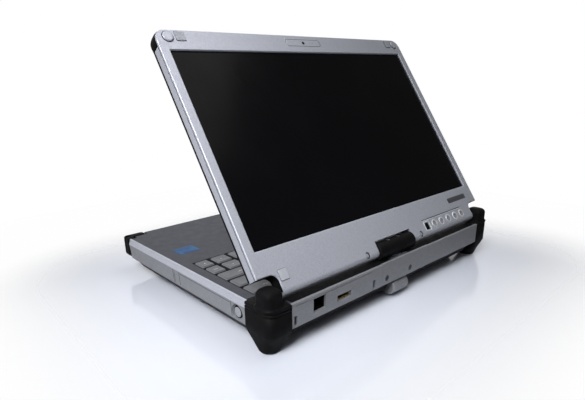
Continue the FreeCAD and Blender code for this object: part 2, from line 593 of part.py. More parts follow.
def make_bottom_case():
    """Silver tub, widest at its waist, open at the rear where the panels close it."""
    body = piece("bottom_case")
    pad(body, "XY", [case_loop()], "case_waist", "case_waist - band_bottom", "case_lean", downward=True)
    pad(body, "XY", [case_loop()], "case_waist", f"{DECK_UNDER} - case_waist", "case_slope")
    inner = case_loop("(case_wall + joint_gap)")
    pocket(body, "XY", [inner], DECK_UNDER, f"{DECK_UNDER} - {FLOOR_TOP}")
    block(
        body,
        (f"-{REAR_X} - {OVERSHOOT}", PLATE_IN, f"band_bottom - {OVERSHOOT}"),
        (f"{REAR_X} + {OVERSHOOT}", f"{CASE_Y} + {OVERSHOOT}", f"{DECK_UNDER} + {OVERSHOOT}"),
        cut=True,
    )
    rear_clear = f"{REAR_X} - case_wall - panel_ledge"
    block(
        body,
        (f"-({rear_clear})", f"{PLATE_IN} - case_wall - panel_ledge", FLOOR_TOP),
        (rear_clear, f"{PLATE_IN} + {OVERSHOOT}", f"{DECK_UNDER} + {OVERSHOOT}"),
        cut=True,
    )
    for across, along in BOARD_POSTS:
        rod(body, (across, along, FLOOR_TOP), "board_post", f"board_low - {FLOOR_TOP}")
    gap = "(cap_border + slide_gap)"
    block(
        body,
        (f"{CASE_X} - case_wall - cut_reach", f"-battery_front - {gap}", FLOOR_TOP),
        (f"{CASE_X} + {OVERSHOOT}", f"battery_rear + {gap}", "case_waist + slide_gap"),
        cut=True,
    )
    rod(
        body,
        (f"{CASE_X} - case_wall - cut_reach", "release_y", "release_z"),
        "release_radius + slide_gap",
        f"case_wall + cut_reach + {OVERSHOOT}",
        way="x",
        cut=True,
    )
    rod(
        body,
        (f"{CASE_X} - release_sunk", "release_y", "release_z"),
        "release_radius + release_dish",
        f"release_sunk + {OVERSHOOT}",
        way="x",
        cut=True,
    )
    block(
        body,
        (f"-{CASE_X} - {OVERSHOOT}", "vent_front - joint_gap", "vent_low - joint_gap"),
        (
            f"-{CASE_X} + case_wall + cut_reach",
            "vent_front + vent_long + joint_gap",
            "vent_low + vent_tall + joint_gap",
        ),
        cut=True,
    )
    for across, along in CASE_SCREWS:
        rod(
            body,
            (across, along, f"band_bottom - {OVERSHOOT}"),
            "screw_radius + joint_gap / 2",
            f"case_floor + 2 * {OVERSHOOT}",
            cut=True,
        )


def make_bottom_cover():
    """Black pan with sloping sides that closes the case from below, with its screw pillars."""
    body = piece("bottom_cover")
    side = f"({CASE_X} - pan_inset)"
    front = f"({SIDE_S} + pan_inset)"
    rear = f"({CASE_Y} - pan_inset)"
    foot_x = f"({REAR_X} - pan_inset)"
    foot_y = f"({REAR_S} - pan_inset)"
    loop = both_sides(((side, front), (side, foot_y), (foot_x, foot_y), (foot_x, rear)))
    pad(body, "XY", [loop], "band_bottom", "band_bottom - pan_bottom", "pan_slope", downward=True)
    hollow = rectangle(
        f"pan_rim - {side}", f"pan_rim + {front}", f"{side} - pan_rim", f"{foot_y} - pan_rim"
    )
    pocket(body, "XY", [hollow], "band_bottom", "band_bottom - pan_bottom - pan_floor")
    for across, along in CASE_SCREWS:
        rod(body, (across, along, "pan_bottom"), "boss_radius", "band_bottom - pan_bottom")
    for across, along in CASE_SCREWS:
        rod(
            body,
            (across, along, f"pan_bottom - {OVERSHOOT}"),
            "screw_radius + joint_gap / 2",
            f"band_bottom - pan_bottom + 2 * {OVERSHOOT}",
            cut=True,
        )
        rod(
            body,
            (across, along, f"pan_bottom - {OVERSHOOT}"),
            "screw_head + joint_gap",
            f"screw_head_deep + joint_gap + {OVERSHOOT}",
            cut=True,
        )
    block(
        body,
        ("-anchor_width / 2 - joint_gap", "anchor_front - joint_gap", f"pan_bottom - {OVERSHOOT}"),
        ("anchor_width / 2 + joint_gap", f"{rear} + {OVERSHOOT}", f"band_bottom + {OVERSHOOT}"),
        cut=True,
    )


def make_case_screws():
    """Six screws through the bottom cover and two through the centre panel at the rear."""
    body = piece("case_screws")
    for across, along in CASE_SCREWS:
        rod(body, (across, along, "pan_bottom + joint_gap"), "screw_head", "screw_head_deep")
        foot = "(pan_bottom + joint_gap)"
        rod(body, (across, along, foot), "screw_radius", f"{FLOOR_TOP} - {foot}")
    for across in ("cover_screw_a", "-cover_screw_b"):
        head = f"({CASE_Y} - cover_screw_sunk - cover_screw_head)"
        end = f"({PLATE_IN} - cover_screw_reach)"
        rod(body, (across, head, "cover_screw_z"), "screw_head", "cover_screw_head", way="y")
        length = f"{head} + cover_screw_head / 2 - {end}"
        rod(body, (across, end, "cover_screw_z"), "screw_radius", length, way="y")


def make_deck_cover():
    """Dark deck plate with the keyboard well, the touchpad opening and the swivel hole."""
    body = piece("deck_cover")
    lean = f"(({DECK_UNDER} - case_waist) * tan(case_slope * 1 deg))"
    loop = list(case_loop(lean))
    half = len(loop) // 2
    loop[half - 1] = (loop[half - 1][0], PLATE_IN)
    loop[half] = (loop[half][0], PLATE_IN)
    pad(body, "XY", [loop], DECK_UNDER, "deck_thick")
    ease(body, "deck_thick / 2", lambda edge: lies_at(edge, "z", "deck_height") and runs_along(edge, "y")
         and spans(edge, "y")[1] - spans(edge, "y")[0] > value("base_depth / 2"))
    ease(body, "deck_thick / 2", lambda edge: lies_at(edge, "z", "deck_height") and runs_along(edge, "x")
         and lies_at(edge, "y", f"{lean} - {CASE_Y}"))
    touch = rectangle(
        "-pad_half - slide_gap",
        f"{TOUCH_FRONT} - pad_button - slide_gap - joint_gap",
        "pad_half + slide_gap",
        "slide_gap - pad_rear",
    )
    well = well_loop("(well_margin - key_gap / 2)")
    pocket(body, "XY", [well, touch], "deck_height", f"deck_thick + {OVERSHOOT}")
    rod(
        body,
        ("0", HINGE_Y, f"{DECK_UNDER} - {OVERSHOOT}"),
        "post_radius + slide_gap",
        f"deck_thick + 2 * {OVERSHOOT}",
        cut=True,
    )


def make_rear_panel(label, left, right, top):
    """One of the three silver panels that close the rear, bevelled along its lower edge."""
    body = piece(label)
    block(body, (left, PLATE_IN, "band_bottom"), (right, CASE_Y, top))
    ease(
        body,
        "panel_bevel",
        lambda edge: lies_at(edge, "y", CASE_Y) and lies_at(edge, "z", "band_bottom"),
        bevel=True,
    )
    ease(body, "edge_soft", lambda edge: lies_at(edge, "y", CASE_Y) and lies_at(edge, "z", top))
    return body


def cut_through(body, middle, width, low, tall):
    """A rectangular hole through a rear panel."""
    block(
        body,
        (f"{middle} - {width} / 2", f"{PLATE_IN} - {OVERSHOOT}", low),
        (f"{middle} + {width} / 2", f"{CASE_Y} + {OVERSHOOT}", f"{low} + {tall}"),
        cut=True,
    )


def make_rear_port_plate():
    """Port panel with its sockets' mouths, lock slot, catch slot and engraved line."""
    body = make_rear_panel("rear_port_plate", "port_seam + joint_gap / 2", REAR_X, "deck_height")
    cut_through(body, "lan_x", "lan_width", "lan_low", "lan_tall")
    cut_through(body, "video_x", "video_width", "video_low", "video_tall")
    cut_through(body, "lock_x", "lock_width", "lock_low", "lock_tall")
    cut_through(body, "catch_x", "lock_width", "lock_low", "lock_tall")
    block(
        body,
        ("lock_x + lock_width", f"{CASE_Y} - panel_line", "deck_height - line_drop"),
        ("catch_x", f"{CASE_Y} + {OVERSHOOT}", "deck_height - line_drop + panel_line"),
        cut=True,
    )


def make_rear_center_cover():
    """Centre panel under the hinge, with two sunk screw seats."""
    body = make_rear_panel(
        "rear_center_cover",
        "joint_gap / 2 - blank_seam",
        "port_seam - joint_gap / 2",
        "deck_height + center_rise",
    )
    for across in ("cover_screw_a", "-cover_screw_b"):
        rod(
            body,
            (across, f"{CASE_Y} - cover_screw_sunk - cover_screw_head", "cover_screw_z"),
            "screw_head + joint_gap",
            f"cover_screw_sunk + cover_screw_head + {OVERSHOOT}",
            way="y",
            cut=True,
        )
        rod(
            body,
            (across, f"{PLATE_IN} - {OVERSHOOT}", "cover_screw_z"),
            "screw_radius + joint_gap / 2",
            f"plate_thick + 2 * {OVERSHOOT}",
            way="y",
            cut=True,
        )


def make_rear_blank_cover():
    """Plain panel on the side away from the ports."""
    make_rear_panel("rear_blank_cover", f"-{REAR_X}", "-blank_seam - joint_gap / 2", "deck_height")


def make_rear_bumper(label, side):
    """Black rear corner: grooved block, tower beside the lid and tapered foot."""
    body = piece(label)

    def corner(inset):
        inner = f"{side} * (base_width / 2 - rear_bumper_back + {inset})"
        outer = f"{side} * (base_width / 2 - {inset})"
        front = f"base_depth / 2 - rear_bumper_side + {inset}"
        return rectangle(inner, front, outer, f"base_depth / 2 - {inset}")

    tower_rear = "(base_depth / 2 - tower_setback)"
    tower_outer = "(base_width / 2 - bumper_proud)"
    tower = rectangle(
        f"{side} * ({tower_outer} - tower_width)",
        f"{tower_rear} - tower_depth",
        f"{side} * {tower_outer}",
        tower_rear,
    )
    top = "(deck_height + bumper_rise)"
    pad(body, "XY", [tower], f"{top} - bumper_lip", "tower_height - bumper_rise + bumper_lip")
    ease(body, "tower_round", lambda edge: runs_along(edge, "z"))
    ease(body, "tower_crown", lambda edge: lies_at(edge, "z", "deck_height + tower_height"))
    neck = f"({top} - bumper_lip - bumper_groove)"
    pad(body, "XY", [corner("0")], "band_bottom", f"{neck} - band_bottom")
    pad(body, "XY", [corner("bumper_groove")], neck, "bumper_groove")
    pad(body, "XY", [corner("0")], f"{neck} + bumper_groove", "bumper_lip")
    near_corner = value("bumper_groove") + NEAR
    ease(body, "bumper_round", lambda edge: runs_along(edge, "z")
         and abs(abs(edge.BoundBox.Center.x) - value("base_width / 2")) < near_corner
         and abs(edge.BoundBox.Center.y - value("base_depth / 2")) < near_corner)
    foot_x = f"{side} * (base_width / 2 - rear_bumper_back / 2)"
    foot_y = "base_depth / 2 - rear_bumper_side / 2"
    rod(body, (foot_x, foot_y, "0"), "foot_radius", "band_bottom", end_radius="foot_top_radius")


def make_front_bumper(label, side):
    """Black front corner, two arms round the case corner."""
    body = piece(label)
    loop = (
        (f"{side} * base_width / 2", "front_bumper_side - base_depth / 2"),
        (f"{side} * (base_width / 2 - front_bumper_deep)", "front_bumper_side - base_depth / 2"),
        (f"{side} * (base_width / 2 - front_bumper_deep)", "front_bumper_deep - base_depth / 2"),
        (f"{side} * (base_width / 2 - front_bumper_front)", "front_bumper_deep - base_depth / 2"),
        (f"{side} * (base_width / 2 - front_bumper_front)", "-base_depth / 2"),
        (f"{side} * base_width / 2", "-base_depth / 2"),
    )
    pad(body, "XY", [loop], "front_bumper_low", "deck_height + bumper_rise - front_bumper_low")
    ease(body, "bumper_round", lambda edge: upright_at(edge, "base_width / 2", "-base_depth / 2"))
    ease(body, "edge_round", lambda edge: lies_at(edge, "z", "deck_height + bumper_rise")
         and (spans(edge, "y")[0] < value("-base_depth / 2 + bumper_round") + NEAR
              or abs(edge.BoundBox.Center.x) > value("base_width / 2") - NEAR)
         and edge.BoundBox.Center.y < value("front_bumper_side - base_depth / 2") - OVERSHOOT
         and not lies_at(edge, "x", f"{side} * (base_width / 2 - front_bumper_front)"))


def make_front_feet():
    """Two round feet under the front of the bottom cover."""
    body = piece("front_feet")
    for side in ("1", "-1"):
        rod(body, (f"{side} * front_foot_x", "-front_foot_y", "0"), "foot_radius", "pan_bottom")
    ease(body, "edge_round", lambda edge: lies_at(edge, "z", "0"))


def make_strap_anchor():
    """Silver round-nosed block under the rear edge, for a carrying strap."""
    body = piece("strap_anchor")
    rear = f"({CASE_Y} + anchor_proud)"
    block(
        body,
        ("-anchor_width / 2", "anchor_front", "anchor_low"),
        ("anchor_width / 2", rear, "band_bottom"),
    )
    ease(body, "anchor_round", lambda edge: runs_along(edge, "x") and lies_at(edge, "y", rear))
    ease(body, "anchor_edge", lambda edge: runs_along(edge, "z") and lies_at(edge, "y", rear))


def make_jack(label, middle, width, low, tall, foot):
    """A socket: a shell round its mouth with a closed back, standing on the board."""
    body = piece(label)
    mouth = f"({PLATE_IN} - joint_gap)"
    block(
        body,
        (f"{middle} - {width} / 2 - jack_wall", f"{mouth} - jack_deep", foot),
        (f"{middle} + {width} / 2 + jack_wall", mouth, f"{low} + {tall} + jack_wall"),
    )
    block(
        body,
        (f"{middle} - {width} / 2", f"{mouth} - jack_deep + jack_back", low),
        (f"{middle} + {width} / 2", f"{mouth} + {OVERSHOOT}", f"{low} + {tall}"),
        cut=True,
    )


def make_keyboard_tray():
    """Metal tray under the keys, its rim seated against the deck from below."""
    body = piece("keyboard_tray")
    inner = "(well_margin - key_gap / 2 + joint_gap)"
    pad(body, "XY", [well_loop(f"({inner} + tray_rim)")], "tray_low", f"{DECK_UNDER} - tray_low")
    pocket(body, "XY", [well_loop(inner)], DECK_UNDER, f"{DECK_UNDER} - {TRAY_TOP}")


def make_key_membrane():
    """Rubber sheet over the tray."""
    body = piece("key_membrane")
    pad(body, "XY", [well_loop("(well_margin - key_gap / 2)")], TRAY_TOP, "membrane_thick")


def make_key_row(number, widths):
    """One row of tapered caps, set out from the left by their widths."""
    body = piece(f"key_row_{number + 1}")
    front = f"(first_row + {number} * row_pitch)"
    function_row = number == len(KEY_ROWS) - 1
    deep = "function_deep" if function_row else "row_pitch"
    pitch = "function_pitch" if function_row else "key_pitch"
    start = -sum(widths) / 2
    loops = []
    for width in widths:
        left = f"{start} * {pitch} + key_gap / 2"
        right = f"{start + width} * {pitch} - key_gap / 2"
        loops.append(rectangle(left, f"{front} + key_gap / 2", right, f"{front} + {deep} - key_gap / 2"))
        start += width
    pad(body, "XY", loops, KEY_LOW, "key_tall", "key_taper")


def make_touchpad():
    """Touch plate sunk in the deck, held by a flange under it."""
    body = piece("touchpad")
    block(body, ("-pad_half", "-pad_front", TOUCH_LOW), ("pad_half", "-pad_rear", "deck_height - pad_sunk"))
    block(
        body,
        ("-pad_half - pad_flange", "-pad_front", TOUCH_LOW),
        ("pad_half + pad_flange", "pad_flange - pad_rear", f"{DECK_UNDER} - joint_gap"),
    )


def make_touchpad_button(label, left, right):
    """A button in front of the touchpad."""
    body = piece(label)
    top = "deck_height + pad_button_rise"
    block(body, (left, f"{TOUCH_FRONT} - pad_button", TOUCH_LOW), (right, TOUCH_FRONT, top))
    ease(body, "edge_small", lambda edge: lies_at(edge, "z", top) and runs_along(edge, "x"))


def make_mainboard():
    """Board beside the battery, with an arm behind it to the sockets."""
    body = piece("mainboard")
    arm_rear = f"{PLATE_IN} - board_gap"
    loop = (
        ("-board_left", "-board_front"), ("board_right", "-board_front"), ("board_right", ARM_FRONT),
        (ARM_END, ARM_FRONT), (ARM_END, arm_rear), ("board_arm", arm_rear), ("board_arm", BOARD_REAR),
        ("-board_left", BOARD_REAR),
    )
    pad(body, "XY", [loop], "board_low", "board_thick")


def make_inner_box(name, label, side, foot):
    """A plain inner unit, such as a drive or a card, from its named sizes."""
    body = piece(label)
    left = f"{side} * {name}_left"
    block(
        body,
        (left, f"-{name}_front", foot),
        (f"{left} + {name}_wide", f"{name}_deep - {name}_front", f"{foot} + {name}_tall"),
    )
    ease(body, "edge_small", lambda edge: runs_along(edge, "z"))


def make_heat_pipe_cooler():
    """Copper plate over the processor, flat pipe and fin block at the vent."""
    body = piece("heat_pipe_cooler")
    block(
        body,
        ("-cooler_left", "cooler_front", BOARD_TOP),
        ("-cooler_right", "cooler_front + cooler_deep", f"{BOARD_TOP} + cooler_thick"),
    )
    pipe_front = "(fan_y + fan_half + pipe_gap)"
    pipe_low = f"({BOARD_TOP} + pipe_lift)"
    fin_side = f"(-{CASE_X} + case_wall + panel_ledge)"
    block(
        body,
        (fin_side, pipe_front, pipe_low),
        ("-pipe_end", f"{pipe_front} + pipe_deep", f"{pipe_low} + pipe_tall"),
    )
    block(
        body,
        (fin_side, "fan_y - fan_half", "fan_low"),
        ("-fan_x - fan_half - fin_gap", f"{pipe_front} + pipe_deep", "fan_low + fan_tall"),
    )


def make_fan_housing():
    """Square fan housing with a round chamber, open towards the fins and above the hub."""
    body = piece("fan_housing")
    block(
        body,
        ("-fan_x - fan_half", "fan_y - fan_half", "fan_low"),
        ("fan_half - fan_x", "fan_y + fan_half", "fan_low + fan_tall"),
    )
    rod(body, ("-fan_x", "fan_y", "fan_low + fan_skin"), "fan_radius", "fan_tall - 2 * fan_skin", cut=True)
    roof = "(fan_low + fan_tall - 2 * fan_skin)"
    rod(body, ("-fan_x", "fan_y", roof), "fan_inlet", f"2 * fan_skin + {OVERSHOOT}", cut=True)
    block(
        body,
        (f"-fan_x - fan_half - {OVERSHOOT}", "fan_y - fan_inlet", "fan_low + fan_skin"),
        ("-fan_x", "fan_y + fan_inlet", "fan_low + fan_tall - fan_skin"),
        cut=True,
    )
    rod(body, ("-fan_x", "fan_y", "fan_low + fan_skin / 2"), "fan_pin", "fan_tall - 2 * fan_skin")


def make_fan_rotor():
    """Hub and blades on the axle."""
    body = piece("fan_rotor")
    low = "(fan_low + fan_skin + rotor_lift)"
    tall = "(fan_tall - 2 * fan_skin - rotor_lift - rotor_room)"
    rod(body, ("-fan_x", "fan_y", low), "rotor_hub", tall)
    for way in range(BLADES):
        blade = body.newObject("PartDesign::AdditiveBox", "blade")
        turn = FreeCAD.Rotation(FreeCAD.Vector(0, 0, 1), 360 * way / BLADES)
        blade.Placement = FreeCAD.Placement(FreeCAD.Vector(), turn)
        bind(blade, Length="rotor_radius", Width="blade_thick", Height=tall)
        place(blade, ("-fan_x", "fan_y", low))
    rod(body, ("-fan_x", "fan_y", f"{low} - {OVERSHOOT}"), "fan_pin + run_gap", "fan_tall", cut=True)


def make_vent_grille():
    """Slotted plate in the left side, in front of the fins."""
    body = piece("vent_grille")
    outer = f"(-{CASE_X} + vent_sunk)"
    block(
        body,
        (outer, "vent_front", "vent_low"),
        (f"{outer} + vent_thick", "vent_front + vent_long", "vent_low + vent_tall"),
    )
    doc.recompute()
    block(
        body,
        (f"{outer} - {OVERSHOOT}", "vent_front + vent_end", "vent_low + vent_border"),
        (
            f"{outer} + vent_thick + {OVERSHOOT}",
            "vent_front + vent_end + vent_slot",
            "vent_low + vent_tall - vent_border",
        ),
        cut=True,
    )
    doc.recompute()
    slot = body.Tip
    row = body.newObject("PartDesign::LinearPattern", "slots")
    row.Originals = [slot]
    row.Direction = ([origin for origin in body.Origin.OriginFeatures if origin.Role == "Y_Axis"][0], [""])
    count = int(value("vent_long - 2 * vent_end + vent_pitch - vent_slot") // value("vent_pitch"))
    row.Occurrences = count
    bind(row, Length=f"vent_pitch * {count - 1}")
    body.Tip = row


def make_battery_pack():
    """Flat pack that slides into the right-hand side."""
    body = piece("battery_pack")
    block(body, ("battery_inner", "-battery_front", "battery_low"), (CAP_IN, "battery_rear", BATTERY_TOP))
    ease(body, "edge_round", lambda edge: runs_along(edge, "x"))


def make_battery_end_cap():
    """Silver end panel of the battery, flush with the case side and reaching up to its waist."""
    body = piece("battery_end_cap")
    low = f"({FLOOR_TOP} + joint_gap)"
    lean = f"((case_waist - {low}) * tan(case_lean * 1 deg))"
    loop = ((CAP_IN, low), (f"{CASE_X} - {lean}", low), (CASE_X, "case_waist"), (CAP_IN, "case_waist"))
    length = "battery_front + battery_rear + 2 * cap_border"
    pad(body, "XZ", [loop], "battery_front + cap_border", length, downward=True)


def make_battery_release_button():
    """Round button that frees the battery."""
    body = piece("battery_release_button")
    rod(
        body,
        (f"{CASE_X} - release_set - release_deep", "release_y", "release_z"),
        "release_radius",
        "release_deep",
        way="x",
    )
    ease(body, "edge_soft", lambda edge: lies_at(edge, "x", f"{CASE_X} - release_set"))


def make_swivel_bearing():
    """Bearing bracket under the deck that the swivel post turns in."""
    body = piece("swivel_bearing")
    low = "(post_low - bearing_foot)"
    block(
        body,
        ("-bearing_half", f"{HINGE_Y} - bearing_radius", f"{DECK_UNDER} - bearing_plate"),
        ("bearing_half", f"{HINGE_Y} + bearing_radius + bearing_lap", DECK_UNDER),
    )
    rod(body, ("0", HINGE_Y, low), "bearing_radius", f"{DECK_UNDER} - {low}")
    through = f"{DECK_UNDER} - {low} + 2 * {OVERSHOOT}"
    rod(body, ("0", HINGE_Y, f"{low} - {OVERSHOOT}"), "post_radius + run_gap", through, cut=True)


def make_swivel_post():
    """Hollow post that carries the hinge, with a flange over the deck."""
    body = piece("swivel_post")
    rod(body, ("0", HINGE_Y, "post_low"), "post_radius", f"{FLANGE_TOP} - post_low")
    rod(body, ("0", HINGE_Y, "deck_height + flange_gap"), "flange_radius", "flange_thick")
    through = f"{FLANGE_TOP} - post_low + 2 * {OVERSHOOT}"
    rod(body, ("0", HINGE_Y, f"post_low - {OVERSHOOT}"), "post_bore", through, cut=True)


def make_hinge_housing():
    """Black barrel in the lid's cut-out, flat below, bored for the hinge shafts."""
    body = piece("hinge_housing")
    half = "(cut_half - slide_gap)"
    rod(body, (f"-{half}", HINGE_Y, HINGE_Z), "housing_radius", f"2 * {half}", way="x")
    ease(body, "edge_small", lambda edge: lies_at(edge, "x", half) or lies_at(edge, "x", f"-{half}"))
    clear = f"(housing_radius + {OVERSHOOT})"
    block(
        body,
        (f"-{half} - {OVERSHOOT}", f"{HINGE_Y} - {clear}", f"{FLANGE_TOP} - {clear}"),
        (f"{half} + {OVERSHOOT}", f"{HINGE_Y} + {clear}", FLANGE_TOP),
        cut=True,
    )
    for side in ("1", "-1"):
        middle = f"{side} * (shaft_inner + {half} + {OVERSHOOT}) / 2"
        length = f"({half} + {OVERSHOOT} - shaft_inner)"
        rod(body, (f"{middle} - {length} / 2", HINGE_Y, HINGE_Z), "shaft_radius", length, way="x", cut=True)
        rod(
            body,
            (f"{side} * housing_screw_x", HINGE_Y, f"{HINGE_Z} + housing_radius - housing_screw_seat"),
            "housing_screw_head + joint_gap",
            f"housing_screw_seat + {OVERSHOOT}",
            cut=True,
        )


def make_housing_screws():
    """Two screws in the top of the hinge housing."""
    body = piece("housing_screws")
    for side in ("1", "-1"):
        seat = f"{HINGE_Z} + housing_radius - housing_screw_seat"
        rod(body, (f"{side} * housing_screw_x", HINGE_Y, seat), "housing_screw_head", "housing_screw_tall")


def make_hinge_shafts():
    """Two steel pins held in the housing, on which the lid's brackets turn."""
    body = piece("hinge_shafts")
    for left in ("shaft_inner", "-shaft_outer"):
        rod(body, (left, HINGE_Y, HINGE_Z), "shaft_radius", "shaft_outer - shaft_inner", way="x")


def lid_loop(foot, inset="0"):
    """The lid outline with its corner notches and hinge cut-out, from a foot line up."""
    return both_sides((
        (f"cut_half + {inset}", f"cut_v + {inset}"),
        (f"cut_half + {inset}", f"{foot} + {inset}"),
        (f"notch_u - {inset}", f"{foot} + {inset}"),
        (f"notch_u - {inset}", f"notch_v + {inset}"),
        (f"{LID_X} - {inset}", f"notch_v + {inset}"),
        (f"{LID_X} - {inset}", f"lid_top - {inset}"),
    ))


def round_lid_corners(body):
    """Rounds the upper corners and the inner corners of the notches."""
    ease(body, "lid_corner", lambda edge: upright_at(edge, LID_X, "lid_top"))
    ease(body, "notch_round", lambda edge: upright_at(edge, "notch_u", "notch_v"))


def button_places():
    """The five bezel buttons' places across the lid."""
    return [f"button_u + {number} * button_pitch" for number in range(BUTTONS)]


def make_display_bezel():
    """Silver front frame whose lower edge rolls round the tilt axis."""
    body = piece("display_bezel", on_lid=True)
    pad(body, "XY", [lid_loop("0")], BEZEL_BACK, "bezel_thick")
    round_lid_corners(body)
    side = value("notch_u + notch_round")
    ease(body, "edge_small", lambda edge: lies_at(edge, "z", BEZEL_FACE)
         and (spans(edge, "y")[0] > value("notch_v") - NEAR and abs(edge.BoundBox.Center.x) > side
              or lies_at(edge, "y", "lid_top")))
    opening = rectangle("-screen_half", "screen_low", "screen_half", "screen_high")
    pocket(body, "XY", [opening], BEZEL_FACE, f"bezel_thick + {OVERSHOOT}")
    ease(body, "screen_bevel", lambda edge: lies_at(edge, "z", BEZEL_FACE)
         and abs(edge.BoundBox.Center.x) < value("screen_half") + NEAR
         and value("screen_low") - NEAR < edge.BoundBox.Center.y < value("screen_high") + NEAR, bevel=True)
    for left in ("cut_half", "-notch_u"):
        rod(body, (left, "0", "0"), BEZEL_FACE, "notch_u - cut_half", way="x")
    block(
        body,
        (f"-notch_u - {OVERSHOOT}", "0", "-lid_thick"),
        (f"notch_u + {OVERSHOOT}", "lid_thick", BEZEL_BACK),
        cut=True,
    )
    for left in ("cut_half + bezel_thick", "bezel_thick - notch_u"):
        rod(body, (left, "0", "0"), BEZEL_BACK, "notch_u - cut_half - 2 * bezel_thick", way="x", cut=True)
    through = f"bezel_thick + 2 * {OVERSHOOT}"
    for left in (f"cut_half - {OVERSHOOT}", f"-cut_half - bezel_thick - {OVERSHOOT}"):
        rod(body, (left, "0", "0"), "shaft_radius + slide_gap", through, way="x", cut=True)
    for across in ("dimple_u", "-dimple_u"):
        floor = f"{BEZEL_FACE} - dimple_deep"
        rod(body, (across, "0", floor), "dimple_radius", f"dimple_deep + {OVERSHOOT}", cut=True)
    for across in button_places():
        rod(
            body,
            (across, "button_v", f"{BEZEL_BACK} - {OVERSHOOT}"),
            "button_radius + slide_gap",
            through,
            cut=True,
        )
    reach = "(switch_wide / 2 + switch_travel + slide_gap)"
    block(
        body,
        (f"switch_u - {reach}", "button_v - switch_tall / 2 - slide_gap", f"{BEZEL_BACK} - {OVERSHOOT}"),
        (f"switch_u + {reach}", "button_v + switch_tall / 2 + slide_gap", f"{BEZEL_FACE} + {OVERSHOOT}"),
        cut=True,
    )
    block(
        body,
        ("strip_start", "strip_v", f"{BEZEL_FACE} - strip_deep"),
        ("strip_end", "strip_v + strip_wide", f"{BEZEL_FACE} + {OVERSHOOT}"),
        cut=True,
    )
    block(
        body,
        ("-window_half - joint_gap", "camera_v - window_tall / 2 - joint_gap", f"{BEZEL_BACK} - {OVERSHOOT}"),
        ("window_half + joint_gap", "camera_v + window_tall / 2 + joint_gap", f"{BEZEL_FACE} + {OVERSHOOT}"),
        cut=True,
    )


def make_display_rear_cover():
    """Silver lid back, a shallow tub open to the bezel, with its corners cut out for the guards."""
    body = piece("display_rear_cover", on_lid=True)
    pad(body, "XY", [lid_loop("split_gap")], "-lid_thick / 2", f"{SHELL_FACE} + lid_thick / 2")
    round_lid_corners(body)
    pocket(body, "XY", [lid_loop("split_gap", "back_wall")], SHELL_FACE, f"{SHELL_FACE} - {SHELL_FLOOR}")
    for left, right in (("guard_u", f"{LID_X} + {OVERSHOOT}"), (f"-{LID_X} - {OVERSHOOT}", "-guard_u")):
        block(
            body,
            (left, "guard_v", "-lid_thick"),
            (right, f"lid_top + {OVERSHOOT}", "lid_thick"),
            cut=True,
        )
    reach = "split_gap + back_wall + hinge_room"
    hinge_spans = (
        ("cut_half - hinge_room", "shaft_outer + hinge_room"),
        ("-shaft_outer - hinge_room", "hinge_room - cut_half"),
    )
    for left, right in hinge_spans:
        block(
            body,
            (left, f"-{OVERSHOOT}", SHELL_FLOOR),
            (right, reach, "lid_thick"),
            cut=True,
        )
    block(
        body,
        ("switch_u - switch_room", f"-{OVERSHOOT}", f"{PRESS_LOW} - press_room"),
        (f"{button_places()[-1]} + button_room", reach, "lid_thick"),
        cut=True,
    )


def make_display_corner_guards():
    """Black guards in the lid's upper corners, a little proud of its back."""
    body = piece("display_corner_guards", on_lid=True)
    for left, right in (("guard_u + joint_gap", LID_X), (f"-{LID_X}", "-guard_u - joint_gap")):
        loop = rectangle(left, "guard_v + joint_gap", right, "lid_top")
        pad(body, "XY", [loop], "-lid_thick / 2 - guard_proud", f"{SHELL_FACE} + lid_thick / 2 + guard_proud")
    ease(body, "lid_corner", lambda edge: upright_at(edge, LID_X, "lid_top"))
    ease(body, "edge_round", lambda edge: lies_at(edge, "z", "-lid_thick / 2 - guard_proud"))
    clear_u = "(screen_half + glass_lap + 2 * joint_gap)"
    block(
        body,
        (f"-{clear_u}", "screen_low", SHELL_FLOOR),
        (clear_u, "screen_high + glass_lap + 2 * joint_gap", "lid_thick"),
        cut=True,
    )


def make_touch_glass():
    """Glossy touch glass behind the bezel."""
    body = piece("touch_glass", on_lid=True)
    block(
        body,
        ("-screen_half - glass_lap", "screen_low - glass_lap", f"{BEZEL_BACK} - glass_gap - glass_thick"),
        ("screen_half + glass_lap", "screen_high + glass_lap", f"{BEZEL_BACK} - glass_gap"),
    )


def make_lcd_panel():
    """Display panel behind the glass."""
    body = piece("lcd_panel", on_lid=True)
    front = f"({BEZEL_BACK} - glass_gap - glass_thick - joint_gap)"
    block(
        body,
        ("-screen_half", "screen_low - glass_lap", f"{front} - panel_thick"),
        ("screen_half", "screen_high + glass_lap", front),
    )


def make_webcam_module():
    """Camera board behind its window, with the lens barrel."""
    body = piece("webcam_module", on_lid=True)
    low = "(camera_v - camera_tall / 2)"
    block(body, ("-camera_half", low, "0"), ("camera_half", f"{low} + camera_tall", "camera_thick"))
    inside = "(camera_thick / 2)"
    rod(body, ("0", "camera_v", inside), "lens_radius", f"{BEZEL_BACK} - glass_gap - {inside}")


def make_webcam_window():
    """Window flush in the bezel above the screen."""
    body = piece("webcam_window", on_lid=True)
    block(
        body,
        ("-window_half", "camera_v - window_tall / 2", BEZEL_BACK),
        ("window_half", "camera_v + window_tall / 2", f"{BEZEL_FACE} - glass_gap"),
    )


def make_bezel_pads():
    """Square rubber pads on the bezel."""
    body = piece("bezel_pads", on_lid=True)
    places = (
        ("upper_pad_u", "upper_pad_v"),
        ("-upper_pad_u", "upper_pad_v"),
        ("-lower_pad_u", "lower_pad_v"),
    )
    for across, up in places:
        block(
            body,
            (f"{across} - pad_size / 2", f"{up} - pad_size / 2", BEZEL_FACE),
            (f"{across} + pad_size / 2", f"{up} + pad_size / 2", f"{BEZEL_FACE} + pad_rise"),
        )
    ease(body, "pad_corner", lambda edge: runs_along(edge, "z"))


